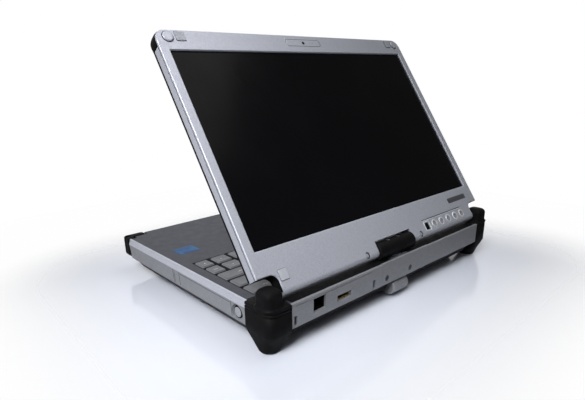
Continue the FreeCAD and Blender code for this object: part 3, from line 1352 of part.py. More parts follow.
def make_corner_bosses():
    """Round bosses in the upper corners of the bezel."""
    body = piece("corner_bosses", on_lid=True)
    for across in ("corner_boss_u", "-corner_boss_u"):
        rod(body, (across, "corner_boss_v", BEZEL_FACE), "corner_boss_radius", "corner_boss_rise")
    ease(body, "edge_soft", lambda edge: lies_at(edge, "z", f"{BEZEL_FACE} + corner_boss_rise"))


def make_hinge_brackets():
    """Steel brackets that turn on the shafts and reach up inside the lid."""
    body = piece("hinge_brackets", on_lid=True)
    length = "(shaft_outer - knuckle_start)"
    for left in ("knuckle_start", "-shaft_outer"):
        rod(body, (left, "0", "0"), "knuckle_radius", length, way="x")
        block(
            body,
            (left, "0", f"{SHELL_FLOOR} + joint_gap"),
            (f"{left} + {length}", "bracket_tall", f"{SHELL_FLOOR} + joint_gap + bracket_thick"),
        )
    through = f"{length} + 2 * {OVERSHOOT}"
    for left in (f"knuckle_start - {OVERSHOOT}", f"-shaft_outer - {OVERSHOOT}"):
        rod(body, (left, "0", "0"), "shaft_radius + run_gap", through, way="x", cut=True)


def make_hold_switch():
    """Slide switch in the bezel, with a wider foot behind it."""
    body = piece("hold_switch", on_lid=True)
    half = "switch_wide / 2"
    tall = "switch_tall / 2"
    block(
        body,
        (f"switch_u - {half}", f"button_v - {tall}", KNOB_LOW),
        (f"switch_u + {half}", f"button_v + {tall}", f"{BEZEL_FACE} + button_rise"),
    )
    ease(body, "switch_edge", lambda edge: lies_at(edge, "z", f"{BEZEL_FACE} + button_rise"))
    block(
        body,
        (f"switch_u - {half} - switch_travel", f"button_v - {tall} - switch_lap", PRESS_LOW),
        (
            f"switch_u + {half} + switch_travel",
            f"button_v + {tall} + switch_lap",
            f"{PRESS_LOW} + flange_tall",
        ),
    )


def make_display_button(number, across):
    """A round bezel button with its flange."""
    body = piece(f"display_button_{number}", on_lid=True)
    rod(body, (across, "button_v", KNOB_LOW), "button_radius", f"{BEZEL_FACE} + button_rise - {KNOB_LOW}")
    ease(body, "edge_soft", lambda edge: lies_at(edge, "z", f"{BEZEL_FACE} + button_rise"))
    rod(body, (across, "button_v", PRESS_LOW), "button_radius + button_flange", "flange_tall")


def make_base():
    """Everything that stays on the table."""
    make_bottom_case()
    make_bottom_cover()
    make_case_screws()
    make_deck_cover()
    make_rear_port_plate()
    make_rear_center_cover()
    make_rear_blank_cover()
    for name, side in (("right", "1"), ("left", "-1")):
        make_rear_bumper(f"corner_bumper_rear_{name}", side)
        make_front_bumper(f"corner_bumper_front_{name}", side)
    make_front_feet()
    make_strap_anchor()
    make_jack("lan_jack", "lan_x", "lan_width", "lan_low", "lan_tall", BOARD_TOP)
    make_jack("video_jack", "video_x", "video_width", "video_low", "video_tall", BOARD_TOP)
    make_keyboard_tray()
    make_key_membrane()
    for number, widths in enumerate(KEY_ROWS):
        make_key_row(number, widths)
    make_touchpad()
    make_touchpad_button("touchpad_left_button", "-pad_half", "-pad_button_split / 2")
    make_touchpad_button("touchpad_right_button", "pad_button_split / 2", "pad_half")
    make_mainboard()
    make_inner_box("memory", "memory_module", "-1", BOARD_TOP)
    make_inner_box("drive", "storage_drive", "1", FLOOR_TOP)
    make_inner_box("card", "wireless_card", "-1", BOARD_TOP)
    make_heat_pipe_cooler()
    make_fan_housing()
    make_fan_rotor()
    make_vent_grille()
    make_battery_pack()
    make_battery_end_cap()
    make_battery_release_button()
    make_swivel_bearing()


def make_hinge():
    """What turns on the swivel axis under the lid."""
    make_swivel_post()
    make_hinge_housing()
    make_housing_screws()
    make_hinge_shafts()


def make_display():
    """Everything that tilts."""
    make_display_bezel()
    make_display_rear_cover()
    make_display_corner_guards()
    make_touch_glass()
    make_lcd_panel()
    make_webcam_module()
    make_webcam_window()
    make_bezel_pads()
    make_corner_bosses()
    make_hinge_brackets()
    make_hold_switch()
    for number, across in enumerate(button_places(), start=1):
        make_display_button(number, across)


def check():
    """Stops if any object failed or any sub-part is empty or invalid."""
    failed = [item.Label for item in doc.Objects if {"Invalid", "Error"} & set(item.State)]
    failed += [body.Label for body in pieces if body.Shape.isNull() or not body.Shape.isValid()]
    if failed:
        raise RuntimeError("failed: " + ", ".join(failed))


make_base()
make_hinge()
make_display()
doc.recompute()
check()
os.makedirs("parts", exist_ok=True)
for body in pieces:
    body.Shape.exportStep(f"parts/{body.Label}.step")
    print(body.Label, len(body.Shape.Solids), round(body.Shape.Volume / 1000, 2), "cm3")
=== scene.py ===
import json
import bmesh
import bpy
import numpy as np
from mathutils import Matrix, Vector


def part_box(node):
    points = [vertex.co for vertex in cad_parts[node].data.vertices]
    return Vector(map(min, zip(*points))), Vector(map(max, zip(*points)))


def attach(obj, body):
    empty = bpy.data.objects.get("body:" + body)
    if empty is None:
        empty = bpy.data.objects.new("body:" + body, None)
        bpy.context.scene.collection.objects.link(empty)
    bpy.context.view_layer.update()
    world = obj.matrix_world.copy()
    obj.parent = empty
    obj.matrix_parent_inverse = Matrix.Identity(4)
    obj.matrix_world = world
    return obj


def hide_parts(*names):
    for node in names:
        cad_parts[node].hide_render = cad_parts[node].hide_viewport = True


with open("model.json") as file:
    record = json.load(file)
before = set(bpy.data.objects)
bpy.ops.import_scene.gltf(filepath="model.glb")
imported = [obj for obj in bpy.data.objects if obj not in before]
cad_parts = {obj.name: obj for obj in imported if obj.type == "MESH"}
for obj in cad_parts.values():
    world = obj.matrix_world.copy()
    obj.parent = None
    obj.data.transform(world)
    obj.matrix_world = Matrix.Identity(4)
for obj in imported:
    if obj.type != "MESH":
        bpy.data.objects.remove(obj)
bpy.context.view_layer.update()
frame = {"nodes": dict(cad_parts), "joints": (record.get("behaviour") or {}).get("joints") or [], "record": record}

# The object is in metres, and a section that counts in millimetres says so. +X is the user's right, +Y the
# rear and +Z up. A frame is an origin with axes to the right, up and out; in the lid's, u is to the right
# of someone facing the screen, v up the lid from the tilt axis and n out of the screen.
MM = 0.001
JOINTS = {joint["name"]: joint for joint in frame["joints"]}
HINGE = np.array(JOINTS["display_tilt"]["pos_m"])
LID_N = -np.array(JOINTS["display_button_1_press"]["axis"])
LID_U = np.array((-1.0, 0.0, 0.0))
LID_V = np.cross(LID_N, LID_U)
LID = (HINGE, LID_U, LID_V, LID_N)
FLAT = (np.zeros(3), np.array((1.0, 0, 0)), np.array((0, 1.0, 0)), np.array((0, 0, 1.0)))
REAR = (np.zeros(3), np.array((-1.0, 0, 0)), np.array((0, 0, 1.0)), np.array((0, 1.0, 0)))
LID_BACK = (HINGE, -LID_U, LID_V, -LID_N)
SIDE = (np.zeros(3), np.array((0, 1.0, 0)), np.array((0, 0, 1.0)), np.array((1.0, 0, 0)))


def corners(node):
    """A node's lowest and highest corners as arrays."""
    low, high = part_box(node)
    return np.array(low), np.array(high)


def lid_span(node):
    """A lid node's lowest and highest u, v, n, over its mesh."""
    mesh = frame["nodes"][node].data
    points = np.empty(3 * len(mesh.vertices))
    mesh.vertices.foreach_get("co", points)
    local = (points.reshape(-1, 3) - HINGE) @ np.array((LID_U, LID_V, LID_N)).T
    return local.min(axis=0), local.max(axis=0)


# Finishes. Each varies in colour on Object coordinates, and most vary in roughness and relief too.


class Finish:
    """A material round one Principled shader, with short ways to add texture to it."""

    def __init__(self, name, color, roughness, metallic=0.0, **sockets):
        self.material = bpy.data.materials.new(name)
        self.material.use_nodes = True
        self.tree = self.material.node_tree
        self.shader = self.tree.nodes["Principled BSDF"]
        self.color = color
        self.set("Base Color", (*color, 1.0))
        self.set("Roughness", roughness)
        self.set("Metallic", metallic)
        for socket, value in sockets.items():
            self.set(socket.replace("_", " "), value)
        self.height = None

    def set(self, socket, value):
        """Sets one of the shader's sockets."""
        self.shader.inputs[socket].default_value = value

    def node(self, kind, **values):
        """A new node with some of its settings."""
        item = self.tree.nodes.new(kind)
        for name, value in values.items():
            setattr(item, name, value)
        return item

    def link(self, out, into):
        """Joins an output to an input."""
        self.tree.links.new(out, into)

    def coordinates(self, stretch=(1, 1, 1)):
        """Object coordinates, stretched along the axes."""
        where = self.node("ShaderNodeTexCoord")
        mapping = self.node("ShaderNodeMapping")
        mapping.inputs["Scale"].default_value = stretch
        self.link(where.outputs["Object"], mapping.inputs["Vector"])
        return mapping.outputs["Vector"]

    def noise(self, size, detail=3.0, rough=0.55, stretch=(1, 1, 1)):
        """Smooth noise whose cells are about size metres across."""
        texture = self.node("ShaderNodeTexNoise")
        texture.inputs["Scale"].default_value = 1.0 / size
        texture.inputs["Detail"].default_value = detail
        texture.inputs["Roughness"].default_value = rough
        self.link(self.coordinates(stretch), texture.inputs["Vector"])
        return texture.outputs["Fac"]

    def cells(self, size):
        """Cell pattern whose cells are about size metres across."""
        texture = self.node("ShaderNodeTexVoronoi")
        texture.inputs["Scale"].default_value = 1.0 / size
        self.link(self.coordinates(), texture.inputs["Vector"])
        return texture.outputs["Distance"]

    def spread(self, factor, low, high, first=0.35, last=0.65):
        """Maps a factor between first and last to low and high, clamped."""
        item = self.node("ShaderNodeMapRange")
        item.inputs["From Min"].default_value = first
        item.inputs["From Max"].default_value = last
        item.inputs["To Min"].default_value = low
        item.inputs["To Max"].default_value = high
        self.link(factor, item.inputs["Value"])
        return item.outputs["Result"]

    def tint(self, factor, other):
        """Mixes the base colour towards another by a factor; tints add up."""
        mix = self.node("ShaderNodeMix", data_type="RGBA")
        into = self.shader.inputs["Base Color"]
        if into.links:
            self.link(into.links[0].from_socket, mix.inputs["A"])
        else:
            mix.inputs["A"].default_value = (*self.color, 1.0)
        mix.inputs["B"].default_value = (*other, 1.0)
        self.link(factor, mix.inputs["Factor"])
        self.link(mix.outputs["Result"], into)

    def rough(self, factor, low, high):
        """Roughness that follows a factor."""
        self.link(self.spread(factor, low, high), self.shader.inputs["Roughness"])

    def relief(self, factor, depth, strength):
        """Bump of a depth in metres; reliefs lie on top of each other."""
        bump = self.node("ShaderNodeBump")
        bump.inputs["Strength"].default_value = strength
        bump.inputs["Distance"].default_value = depth
        self.link(factor, bump.inputs["Height"])
        if self.height:
            self.link(self.height, bump.inputs["Normal"])
        self.height = bump.outputs["Normal"]
        self.link(self.height, self.shader.inputs["Normal"])


def silver_paint(name, color, roughness, metallic):
    """Satin silver paint over cast metal: metal flake, a faint orange peel and slow clouding."""
    finish = Finish(name, color, roughness, metallic, Specular_IOR_Level=0.5)
    flake = finish.noise(0.8 * MM, detail=1.0)
    cloud = finish.noise(60 * MM, detail=2.0)
    finish.tint(finish.spread(flake, 0.0, 0.6), tuple(0.72 * part for part in color))
    finish.tint(finish.spread(cloud, 0.0, 0.25), tuple(0.88 * part for part in color))
    finish.rough(finish.noise(4 * MM), roughness - 0.04, roughness + 0.06)
    finish.relief(finish.noise(0.7 * MM, detail=2.0), 0.03 * MM, 0.5)
    return finish.material


def deck_paint():
    """Dark blue-grey satin paint with a fine sprayed grain."""
    finish = Finish("deck_paint", (0.044, 0.046, 0.057), 0.55, Specular_IOR_Level=0.2)
    grain = finish.noise(0.6 * MM, detail=1.0)
    finish.tint(finish.spread(grain, 0.0, 0.3), (0.055, 0.058, 0.071))
    finish.tint(finish.spread(finish.noise(45 * MM), 0.0, 0.25), (0.04, 0.042, 0.052))
    finish.rough(finish.noise(9 * MM), 0.5, 0.58)
    finish.relief(grain, 0.03 * MM, 0.6)
    return finish.material


def black_moulding(name, color, roughness, grain_size, depth):
    """Moulded plastic or rubber with an eroded texture and paler rubbed patches."""
    finish = Finish(name, color, roughness, Specular_IOR_Level=0.06)
    grain = finish.noise(grain_size, detail=2.0)
    rubbed = finish.noise(14 * MM, detail=5.0, rough=0.7)
    finish.tint(finish.spread(rubbed, 0.0, 0.5, 0.5, 0.75), tuple(1.9 * part for part in color))
    finish.rough(finish.noise(5 * MM), roughness - 0.06, roughness + 0.08)
    finish.relief(grain, depth, 0.7)
    return finish.material


KEY_TOP = corners("key_row_1")[1][2]
# Heights of the keys' painted highlight on the shoulders and painted shade down the skirts.
KEY_HIGHLIGHT_LEVELS = (KEY_TOP - 0.6 * MM, KEY_TOP - 0.35 * MM)
KEY_SKIRT_SHADE_LEVELS = (KEY_TOP - 1.3 * MM, KEY_TOP - 0.7 * MM)


def key_plastic():
    """Satin grey key plastic, a little polished in patches, with a painted highlight round the shoulders
    and painted shade down the skirts; both follow the height."""
    finish = Finish("key_plastic", (0.09, 0.093, 0.104), 0.42, Specular_IOR_Level=0.4)
    finish.tint(finish.spread(finish.noise(7 * MM), 0.0, 0.5), (0.078, 0.08, 0.09))
    parts = finish.node("ShaderNodeSeparateXYZ")
    finish.link(finish.coordinates(), parts.inputs["Vector"])
    up = parts.outputs["Z"]
    # Pale shoulders are a painted highlight and dark skirts are painted shade, both set by height.
    finish.tint(finish.spread(up, 1.0, 0.0, *KEY_HIGHLIGHT_LEVELS), (0.2, 0.205, 0.225))
    finish.tint(finish.spread(up, 1.0, 0.0, *KEY_SKIRT_SHADE_LEVELS), (0.012, 0.012, 0.014))
    finish.rough(finish.noise(10 * MM), 0.34, 0.5)
    finish.relief(finish.noise(0.35 * MM, detail=1.0), 0.02 * MM, 0.6)
    return finish.material


def legend_ink():
    """Pale printed ink on the keys, slightly uneven."""
    finish = Finish("legend_ink", (0.62, 0.63, 0.66), 0.55)
    finish.tint(finish.spread(finish.noise(0.8 * MM), 0.0, 0.4), (0.5, 0.51, 0.54))
    return finish.material


def screen_glass():
    """Near-black glossy touch glass with the faintest clouding in its gloss."""
    finish = Finish("screen_glass", (0.0025, 0.0025, 0.003), 0.2, Specular_IOR_Level=0.05)
    finish.rough(finish.noise(50 * MM, detail=4.0), 0.17, 0.24)
    finish.tint(finish.spread(finish.noise(90 * MM), 0.0, 0.6), (0.0035, 0.0035, 0.0042))
    return finish.material


def bright_metal(name, color, roughness, stretch):
    """Bare metal with fine lines along one direction."""
    finish = Finish(name, color, roughness, 1.0)
    lines = finish.noise(0.4 * MM, detail=2.0, stretch=stretch)
    finish.tint(finish.spread(lines, 0.0, 0.4), tuple(0.7 * part for part in color))
    finish.rough(finish.noise(3 * MM), roughness - 0.06, roughness + 0.1)
    finish.relief(lines, 0.02 * MM, 0.5)
    return finish.material


def circuit_lacquer():
    """Green board lacquer with darker track areas."""
    finish = Finish("circuit_lacquer", (0.02, 0.11, 0.05), 0.35)
    finish.tint(finish.spread(finish.cells(3 * MM), 0.0, 0.7), (0.012, 0.06, 0.03))
    finish.relief(finish.cells(1.2 * MM), 0.05 * MM, 0.4)
    return finish.material


def badge_plate():
    """Dark grey blank plate with faint bands along it."""
    finish = Finish("badge_plate", (0.06, 0.062, 0.07), 0.4, 0.3)
    bands = finish.noise(2.2 * MM, detail=0.0, stretch=(0.02, 1, 1))
    finish.tint(finish.spread(bands, 0.0, 0.7), (0.1, 0.102, 0.115))
    finish.relief(finish.noise(0.5 * MM), 0.02 * MM, 0.5)
    return finish.material


def sticker_foil():
    """Plain blue foil, paler in slow patches."""
    finish = Finish("sticker_foil", (0.008, 0.05, 0.15), 0.5, Specular_IOR_Level=0.25)
    patches = finish.noise(7 * MM, detail=2.0)
    finish.tint(finish.spread(patches, 0.0, 0.8, 0.45, 0.65), (0.014, 0.1, 0.22))
    finish.relief(finish.noise(1.5 * MM), 0.02 * MM, 0.4)
    return finish.material


def lens_glass():
    """Black lens with a faint violet coating."""
    finish = Finish("lens_glass", (0.004, 0.004, 0.006), 0.08, Coat_Weight=0.6)
    finish.tint(finish.spread(finish.noise(1.2 * MM), 0.0, 0.6), (0.012, 0.008, 0.02))
    return finish.material


SILVER_LID = silver_paint("silver_lid_paint", (0.46, 0.478, 0.545), 0.46, 0.45)
# The base's silver is the lid's silver paint darkened: a shaded copy, painted shade over the base's sides and
# rear.
SILVER_CASE_SHADED = silver_paint("silver_case_shaded_paint", (0.25, 0.257, 0.278), 0.42, 0.4)
# Bright silver for the buttons, also laid on the button rims and a line along the button row as a painted
# highlight.
SILVER_BUTTON_AND_HIGHLIGHT = silver_paint("silver_button_paint", (0.72, 0.73, 0.77), 0.34, 0.3)
BUTTON_GREY = silver_paint("button_grey_paint", (0.34, 0.35, 0.38), 0.36, 0.4)
DECK_PAINT = deck_paint()
BUMPER = black_moulding("bumper_moulding", (0.004, 0.004, 0.0045), 0.6, 0.6 * MM, 0.06 * MM)
# Black plastic for the black parts, also laid as painted shade on the deck by the hinge and on the dimples'
# floors.
BLACK_AND_SHADE = black_moulding("black_plastic_and_shade_moulding", (0.004, 0.004, 0.0045), 0.5, 0.4 * MM, 0.03 * MM)
RUBBER = black_moulding("rubber_moulding", (0.02, 0.02, 0.022), 0.7, 0.5 * MM, 0.05 * MM)
PAD_GREY = black_moulding("pad_rubber", (0.31, 0.32, 0.36), 0.6, 0.4 * MM, 0.03 * MM)
KEYS = key_plastic()
INK = legend_ink()
GLASS = screen_glass()
DARK_STEEL = bright_metal("dark_screw_steel", (0.09, 0.09, 0.095), 0.4, (1, 12, 1))
STEEL = bright_metal("screw_steel", (0.52, 0.52, 0.53), 0.34, (1, 12, 1))
GOLD = bright_metal("gold_contact", (0.85, 0.6, 0.24), 0.28, (1, 1, 8))
COPPER = bright_metal("cooler_copper", (0.72, 0.38, 0.24), 0.34, (1, 10, 1))
BOARD = circuit_lacquer()
BADGE = badge_plate()
STICKER = sticker_foil()
# Dark grey for fine lines, seams and small dark parts, also laid as painted shade along the button row, round the
# corner domes and on the screws.
DARK_LINE_AND_SHADE = black_moulding("dark_line_and_shade", (0.035, 0.036, 0.04), 0.6, 0.5 * MM, 0.02 * MM)
LENS = lens_glass()

NODE_FINISH = {
    "silver_case": SILVER_CASE_SHADED,
    "silver_lid": SILVER_LID,
    "deck_paint": DECK_PAINT,
    "black_bumper": BUMPER,
    "black_plastic": BLACK_AND_SHADE,
    "rubber": RUBBER,
    "key_plastic": KEYS,
    "button_plastic": SILVER_BUTTON_AND_HIGHLIGHT,
    "screen_glass": GLASS,
    "screw_steel": STEEL,
    "gold_contact": GOLD,
    "circuit_board": BOARD,
    "copper": COPPER,
}


def paint_nodes():
    """Gives every CAD node the finish of its slot in the record."""
    for part in frame["record"]["subparts"]:
        node = frame["nodes"][part["node"]]
        node.data.materials.clear()
        node.data.materials.append(NODE_FINISH[part["material_slot"]])


paint_nodes()
frame["nodes"]["case_screws"].data.materials[0] = DARK_STEEL


# Surfaces. A piece is a stack of rings: each ring is a rounded rectangle, drawn in and raised.

LEAST_CORNER = 0.12
PILLOW_STEPS = 6
PILLOW_TOP_RINGS = 5
LOFT_STEPS = 8
LINE_STEPS = 8
BEAD_STEPS = 10
BEAD_AROUND = 8
BEAD_RISE = 0.6
MERGE_DISTANCE = 1e-7


def ring_path(half_x, half_y, corner, steps):
    """Points round rounded rectangles: corner centres plus corner radius times the unit circle,
    steps points to each quarter, as an array of shape (rings, points, 2)."""
    angle = np.arange(4)[:, None] * np.pi / 2 + np.linspace(0, np.pi / 2, steps)[None, :]
    sign_x = np.array((1, -1, -1, 1))[:, None]
    sign_y = np.array((1, 1, -1, -1))[:, None]
    x = sign_x * (half_x[:, None, None] - corner[..., None]) + corner[..., None] * np.cos(angle)
    y = sign_y * (half_y[:, None, None] - corner[..., None]) + corner[..., None] * np.sin(angle)
    return np.stack((x, y), axis=-1).reshape(len(half_x), -1, 2)


def stacked(centers, halves, corner, insets, heights, dish):
    """Closed pillows standing on centres: rings drawn in by insets at heights, then rings shrunk to the
    middle of the top, sunk by dish * (1 - share^2), and one shrunk to the middle of the foot.
    Returns points of shape (pieces, rings, points round, 3)."""
    centers = np.atleast_2d(centers)
    halves = np.broadcast_to(np.atleast_2d(halves), (len(centers), 2))
    rings = []
    for inset, height in zip(insets, heights):
        half = halves - inset
        radius = np.full((len(centers), 4), corner - inset)
        radius = np.clip(radius, LEAST_CORNER * corner, half.min(axis=1)[:, None])
        flat = ring_path(half[:, 0], half[:, 1], radius, PILLOW_STEPS)
        rings.append(np.concatenate((flat, np.full(flat.shape[:2] + (1,), height)), axis=-1))
    foot = rings[0] * np.array((0.0, 0.0, 1.0))
    top = [rings[-1] * np.array((share, share, 1.0)) - np.array((0, 0, dish * (1 - share ** 2)))
           for share in np.linspace(1, 0, PILLOW_TOP_RINGS + 1)[1:]]
    points = np.stack([foot] + rings + top, axis=1)
    return points + centers[:, None, None, :]


def grid_faces(pieces, rings, around):
    """Quads between neighbouring rings, closed round, for several pieces in one mesh."""
    ring = np.arange(rings - 1)[:, None] * around
    step = np.arange(around)[None, :]
    beside = (step + 1) % around
    quads = np.stack((ring + step, ring + beside, ring + around + beside, ring + around + step), axis=-1)
    offsets = np.arange(pieces)[:, None, None] * rings * around
    return (quads.reshape(1, -1, 4) + offsets).reshape(-1, 4)


def in_frame(points, axes):
    """Points given along a frame's right, up and out axes, moved into the object's frame."""
    origin, right, up, out = axes
    return points.reshape(-1, 3) @ np.array((right, up, out)) + origin


def mesh_piece(name, points, faces, finish, body, smooth=True):
    """A mesh object from whole arrays, its doubles merged at the poles, riding on a body."""
    mesh = bpy.data.meshes.new(name)
    mesh.from_pydata(points.tolist(), [], faces.tolist())
    mesh.materials.append(finish)
    item = bpy.data.objects.new(name, mesh)
    bpy.context.scene.collection.objects.link(item)
    merge_poles(mesh)
    mesh.polygons.foreach_set("use_smooth", np.full(len(mesh.polygons), smooth))
    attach(item, body)
    return item


def merge_poles(mesh):
    """Joins the points that a ring shrunk to nothing leaves in one place and turns the faces outwards."""
    edit = bmesh.new()
    edit.from_mesh(mesh)
    bmesh.ops.remove_doubles(edit, verts=edit.verts, dist=MERGE_DISTANCE)
    bmesh.ops.recalc_face_normals(edit, faces=edit.faces)
    edit.to_mesh(mesh)
    edit.free()


def pillow(name, axes, centers, halves, corner, insets, heights, finish, body, slot, dish=0.0):
    """Closed pillows in a frame, as one piece."""
    points = stacked(centers, halves, corner, insets, heights, dish)
    faces = grid_faces(*points.shape[:3])
    return mesh_piece(name, in_frame(points, axes), faces, finish, body)


def rounded_edge(radius, steps=4):
    """Insets and drops of a quarter round, from the side to the top."""
    turn = np.linspace(0, np.pi / 2, steps)
    return radius * (1 - np.cos(turn)), radius * (1 - np.sin(turn))


def plate_profile(tall, edge):
    """Insets and heights of a plate with a rounded upper edge."""
    inset, drop = rounded_edge(edge)
    return np.concatenate(([0.0], inset)), np.concatenate(([0.0], tall - drop))


def plates(name, axes, centers, halves, finish, slot, body="base", *, corner, tall, edge, dish=0.0):
    """Plates with rounded upper edges standing in a frame, as one piece, sizes in millimetres."""
    insets, heights = plate_profile(tall, edge)
    sizes = [size * MM for size in (np.array(centers), np.array(halves), corner, insets, heights)]
    return pillow(name, axes, *sizes, finish, body, slot, dish=dish * MM)


def close_ends(rings):
    """A stack of rings with a ring shrunk to a point added at each end."""
    ends = [np.broadcast_to(ring.mean(axis=0), ring.shape) for ring in (rings[0], rings[-1])]
    return np.concatenate((ends[0][None], rings, ends[1][None]))


def ring_piece(name, rings, axes, finish, body, smooth=True):
    """A stack of rings in a frame, in millimetres, joined by quads into one piece."""
    faces = grid_faces(1, *rings.shape[:2])
    return mesh_piece(name, in_frame(rings * MM, axes), faces, finish, body, smooth)


def single_ring(center, half, corner, inset, height, steps):
    """One rounded rectangle round a centre, drawn in by inset and raised by height."""
    sides = [np.array([side - inset]) for side in half]
    flat = ring_path(*sides, np.full((1, 4), corner - inset), steps)[0]
    return np.concatenate((flat, np.full((len(flat), 1), height)), axis=-1) + np.array(center)


def loft(name, rings, finish, body):
    """A closed surface through level rings, each (centre x, centre y, half x, half y, four corner radii,
    height): rounded rectangles joined by quads, its two ends shrunk to a point."""
    middle = np.array([ring[:2] for ring in rings])
    half = np.array([ring[2:4] for ring in rings])
    corner = np.array([np.broadcast_to(ring[4], 4) for ring in rings])
    corner = np.minimum(corner, half.min(axis=1)[:, None])
    flat = ring_path(half[:, 0], half[:, 1], corner, LOFT_STEPS) + middle[:, None, :]
    height = np.broadcast_to(np.array([ring[5] for ring in rings])[:, None, None], flat.shape[:2] + (1,))
    solid = np.concatenate((flat, height), axis=-1)
    return ring_piece(name, close_ends(solid), FLAT, finish, body)


# Keyboard: dished caps with printed legends, row by row from the front.

KEY_ROWS = (
    (1.25, 1, 1, 1, 5.9, 1, 1, 1, 1, 0.85),
    (2.15,) + (1,) * 12 + (0.85,),
    (1.75,) + (1,) * 11 + (2.25,),
    (1.5,) + (1,) * 12 + (1.5,),
    (1,) * 13 + (2,),
    (1,) * 15,
)
LEGENDS = (
    ("Ctrl", "Fn", "", "Alt", "", "Alt", "Menu", "<", "v", ">"),
    ("Shift", *"ZXCVBNM,./", "Shift", "^", "End"),
    ("Caps", *"ASDFGHJKL;'", "Enter"),
    ("Tab", *"QWERTYUIOP[]", "\\"),
    ("`", *"1234567890-=", "Bksp"),
    ("Esc", *(f"F{number}" for number in range(1, 13)), "Ins", "Del"),
)
CAP_GAP = 1.9 * MM
CAP_SLOPE = 1.27 * MM
CAP_CORNER = 2.0 * MM
CAP_SKIRT = 0.6 * MM
CAP_EDGE = 0.55 * MM
CAP_DISH = 0.28 * MM
INK_LIFT = 0.04 * MM
LETTER_SIZE = 3.6 * MM
WORD_SIZE = 2.3 * MM


def cap_places(row):
    """Centres and half sizes of a row's caps at their skirts, from the CAD row's box."""
    low, high = corners(f"key_row_{row + 1}")
    widths = np.array(KEY_ROWS[row], dtype=float)
    unit = (high[0] - low[0] + CAP_GAP) / widths.sum()
    ends = np.cumsum(widths) * unit + low[0] - CAP_GAP / 2
    middle = ends - widths * unit / 2
    row_middle = np.full(len(widths), (low[1] + high[1]) / 2)
    centers = np.stack((middle, row_middle, np.full(len(widths), low[2])), axis=-1)
    half_deep = np.full(len(widths), (high[1] - low[1]) / 2)
    halves = np.stack((widths * unit / 2 - CAP_GAP / 2, half_deep), axis=-1)
    return centers, halves, high[2] - low[2]


def cap_profile(tall):
    """Insets and heights up a cap: a straight skirt, a sloping side and a rounded shoulder."""
    inset, drop = rounded_edge(CAP_EDGE, steps=5)
    insets = np.concatenate(([0.0, 0.0], CAP_SLOPE + inset))
    heights = np.concatenate(([0.0, CAP_SKIRT], tall - drop))
    return insets, heights


def letter_mesh(text, size):
    """A text's flat outline as points and faces, centred on the origin."""
    curve = bpy.data.curves.new("legend", "FONT")
    curve.body = text
    curve.size = size
    curve.align_x = "CENTER"
    curve.align_y = "CENTER"
    curve.resolution_u = 2
    item = bpy.data.objects.new("legend", curve)
    mesh = bpy.data.meshes.new_from_object(item)
    points = np.empty(3 * len(mesh.vertices))
    mesh.vertices.foreach_get("co", points)
    faces = [tuple(polygon.vertices) for polygon in mesh.polygons]
    bpy.data.objects.remove(item)
    bpy.data.curves.remove(curve)
    bpy.data.meshes.remove(mesh)
    return points.reshape(-1, 3), faces


def print_legends(row, centers, halves, tall):
    """Legends laid on the dished tops: height = top - dish * (1 - share^2) at each point."""
    points = []
    faces = []
    count = 0
    for text, center, half in zip(LEGENDS[row], centers, halves):
        if not text:
            continue
        outline, polygons = letter_mesh(text, LETTER_SIZE if len(text) == 1 else WORD_SIZE)
        reach = half - CAP_SLOPE - CAP_EDGE
        share = np.clip(np.abs(outline[:, :2] / reach).max(axis=1), 0, 1)
        outline[:, 2] = tall - CAP_DISH * (1 - share ** 2) + INK_LIFT
        points.append(outline + center)
        faces += [tuple(number + count for number in polygon) for polygon in polygons]
        count += len(outline)
    mesh = bpy.data.meshes.new(f"key_legends_{row + 1}")
    mesh.from_pydata(np.concatenate(points).tolist(), [], faces)
    mesh.materials.append(INK)
    item = bpy.data.objects.new(mesh.name, mesh)
    bpy.context.scene.collection.objects.link(item)
    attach(item, f"keys_{row + 1}")


def make_keyboard():
    """Six rows of caps in place of the plain ones."""
    for row in range(len(KEY_ROWS)):
        centers, halves, tall = cap_places(row)
        insets, heights = cap_profile(tall)
        caps = pillow(
            f"key_caps_{row + 1}", FLAT, centers, halves, CAP_CORNER, insets, heights, KEYS,
            f"keys_{row + 1}", "key_plastic", dish=CAP_DISH,
        )
        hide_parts(f"key_row_{row + 1}")
        print_legends(row, centers, halves, tall)


make_keyboard()


# Rear corners, in millimetres: a block with grooves and a foot in one moulding, and a tower on it. Levels
# are heights above the floor; a corner's four radii run anticlockwise from the outer rear one.

BLOCK_FOOT = 17.0
BLOCK_TOP = 36.7
BLOCK_EDGE = 0.9
BLOCK_CORNER = np.array((6.0, 1.0, 1.0, 1.0))
BLOCK_CORNER_SHRINK = 0.3
GROOVE_DEEP = 0.6
GROOVE_SLOPE = 0.25
GROOVES = ((34.5, 33.9), (32.0, 31.5))
FOOT_RINGS = ((16.2, 0.2, 0.03), (13.6, 0.5, 0.14), (10.8, 0.9, 0.34), (7.8, 1.3, 0.62), (5.0, 1.7, 0.9))
FOOT_END = ((3.2, 8.4), (1.7, 7.8), (0.8, 7.1), (0.25, 6.2), (0.0, 5.2))
TOWER_FLARE = ((36.2, 1.3), (36.8, 1.25), (37.1, 0.7), (37.7, 0.25), (38.8, 0.0))
FOOT_RADIUS = 8.7
FOOT_CORNER_GROWTH = 7
TOWER_HALF = np.array((7.4, 8.0))
TOWER_SETBACK = np.array((0.5, 1.5))
TOWER_CORNER = 4.6
TOWER_CORNER_GROWTH = 0.6
TOWER_ROUND = 4.4


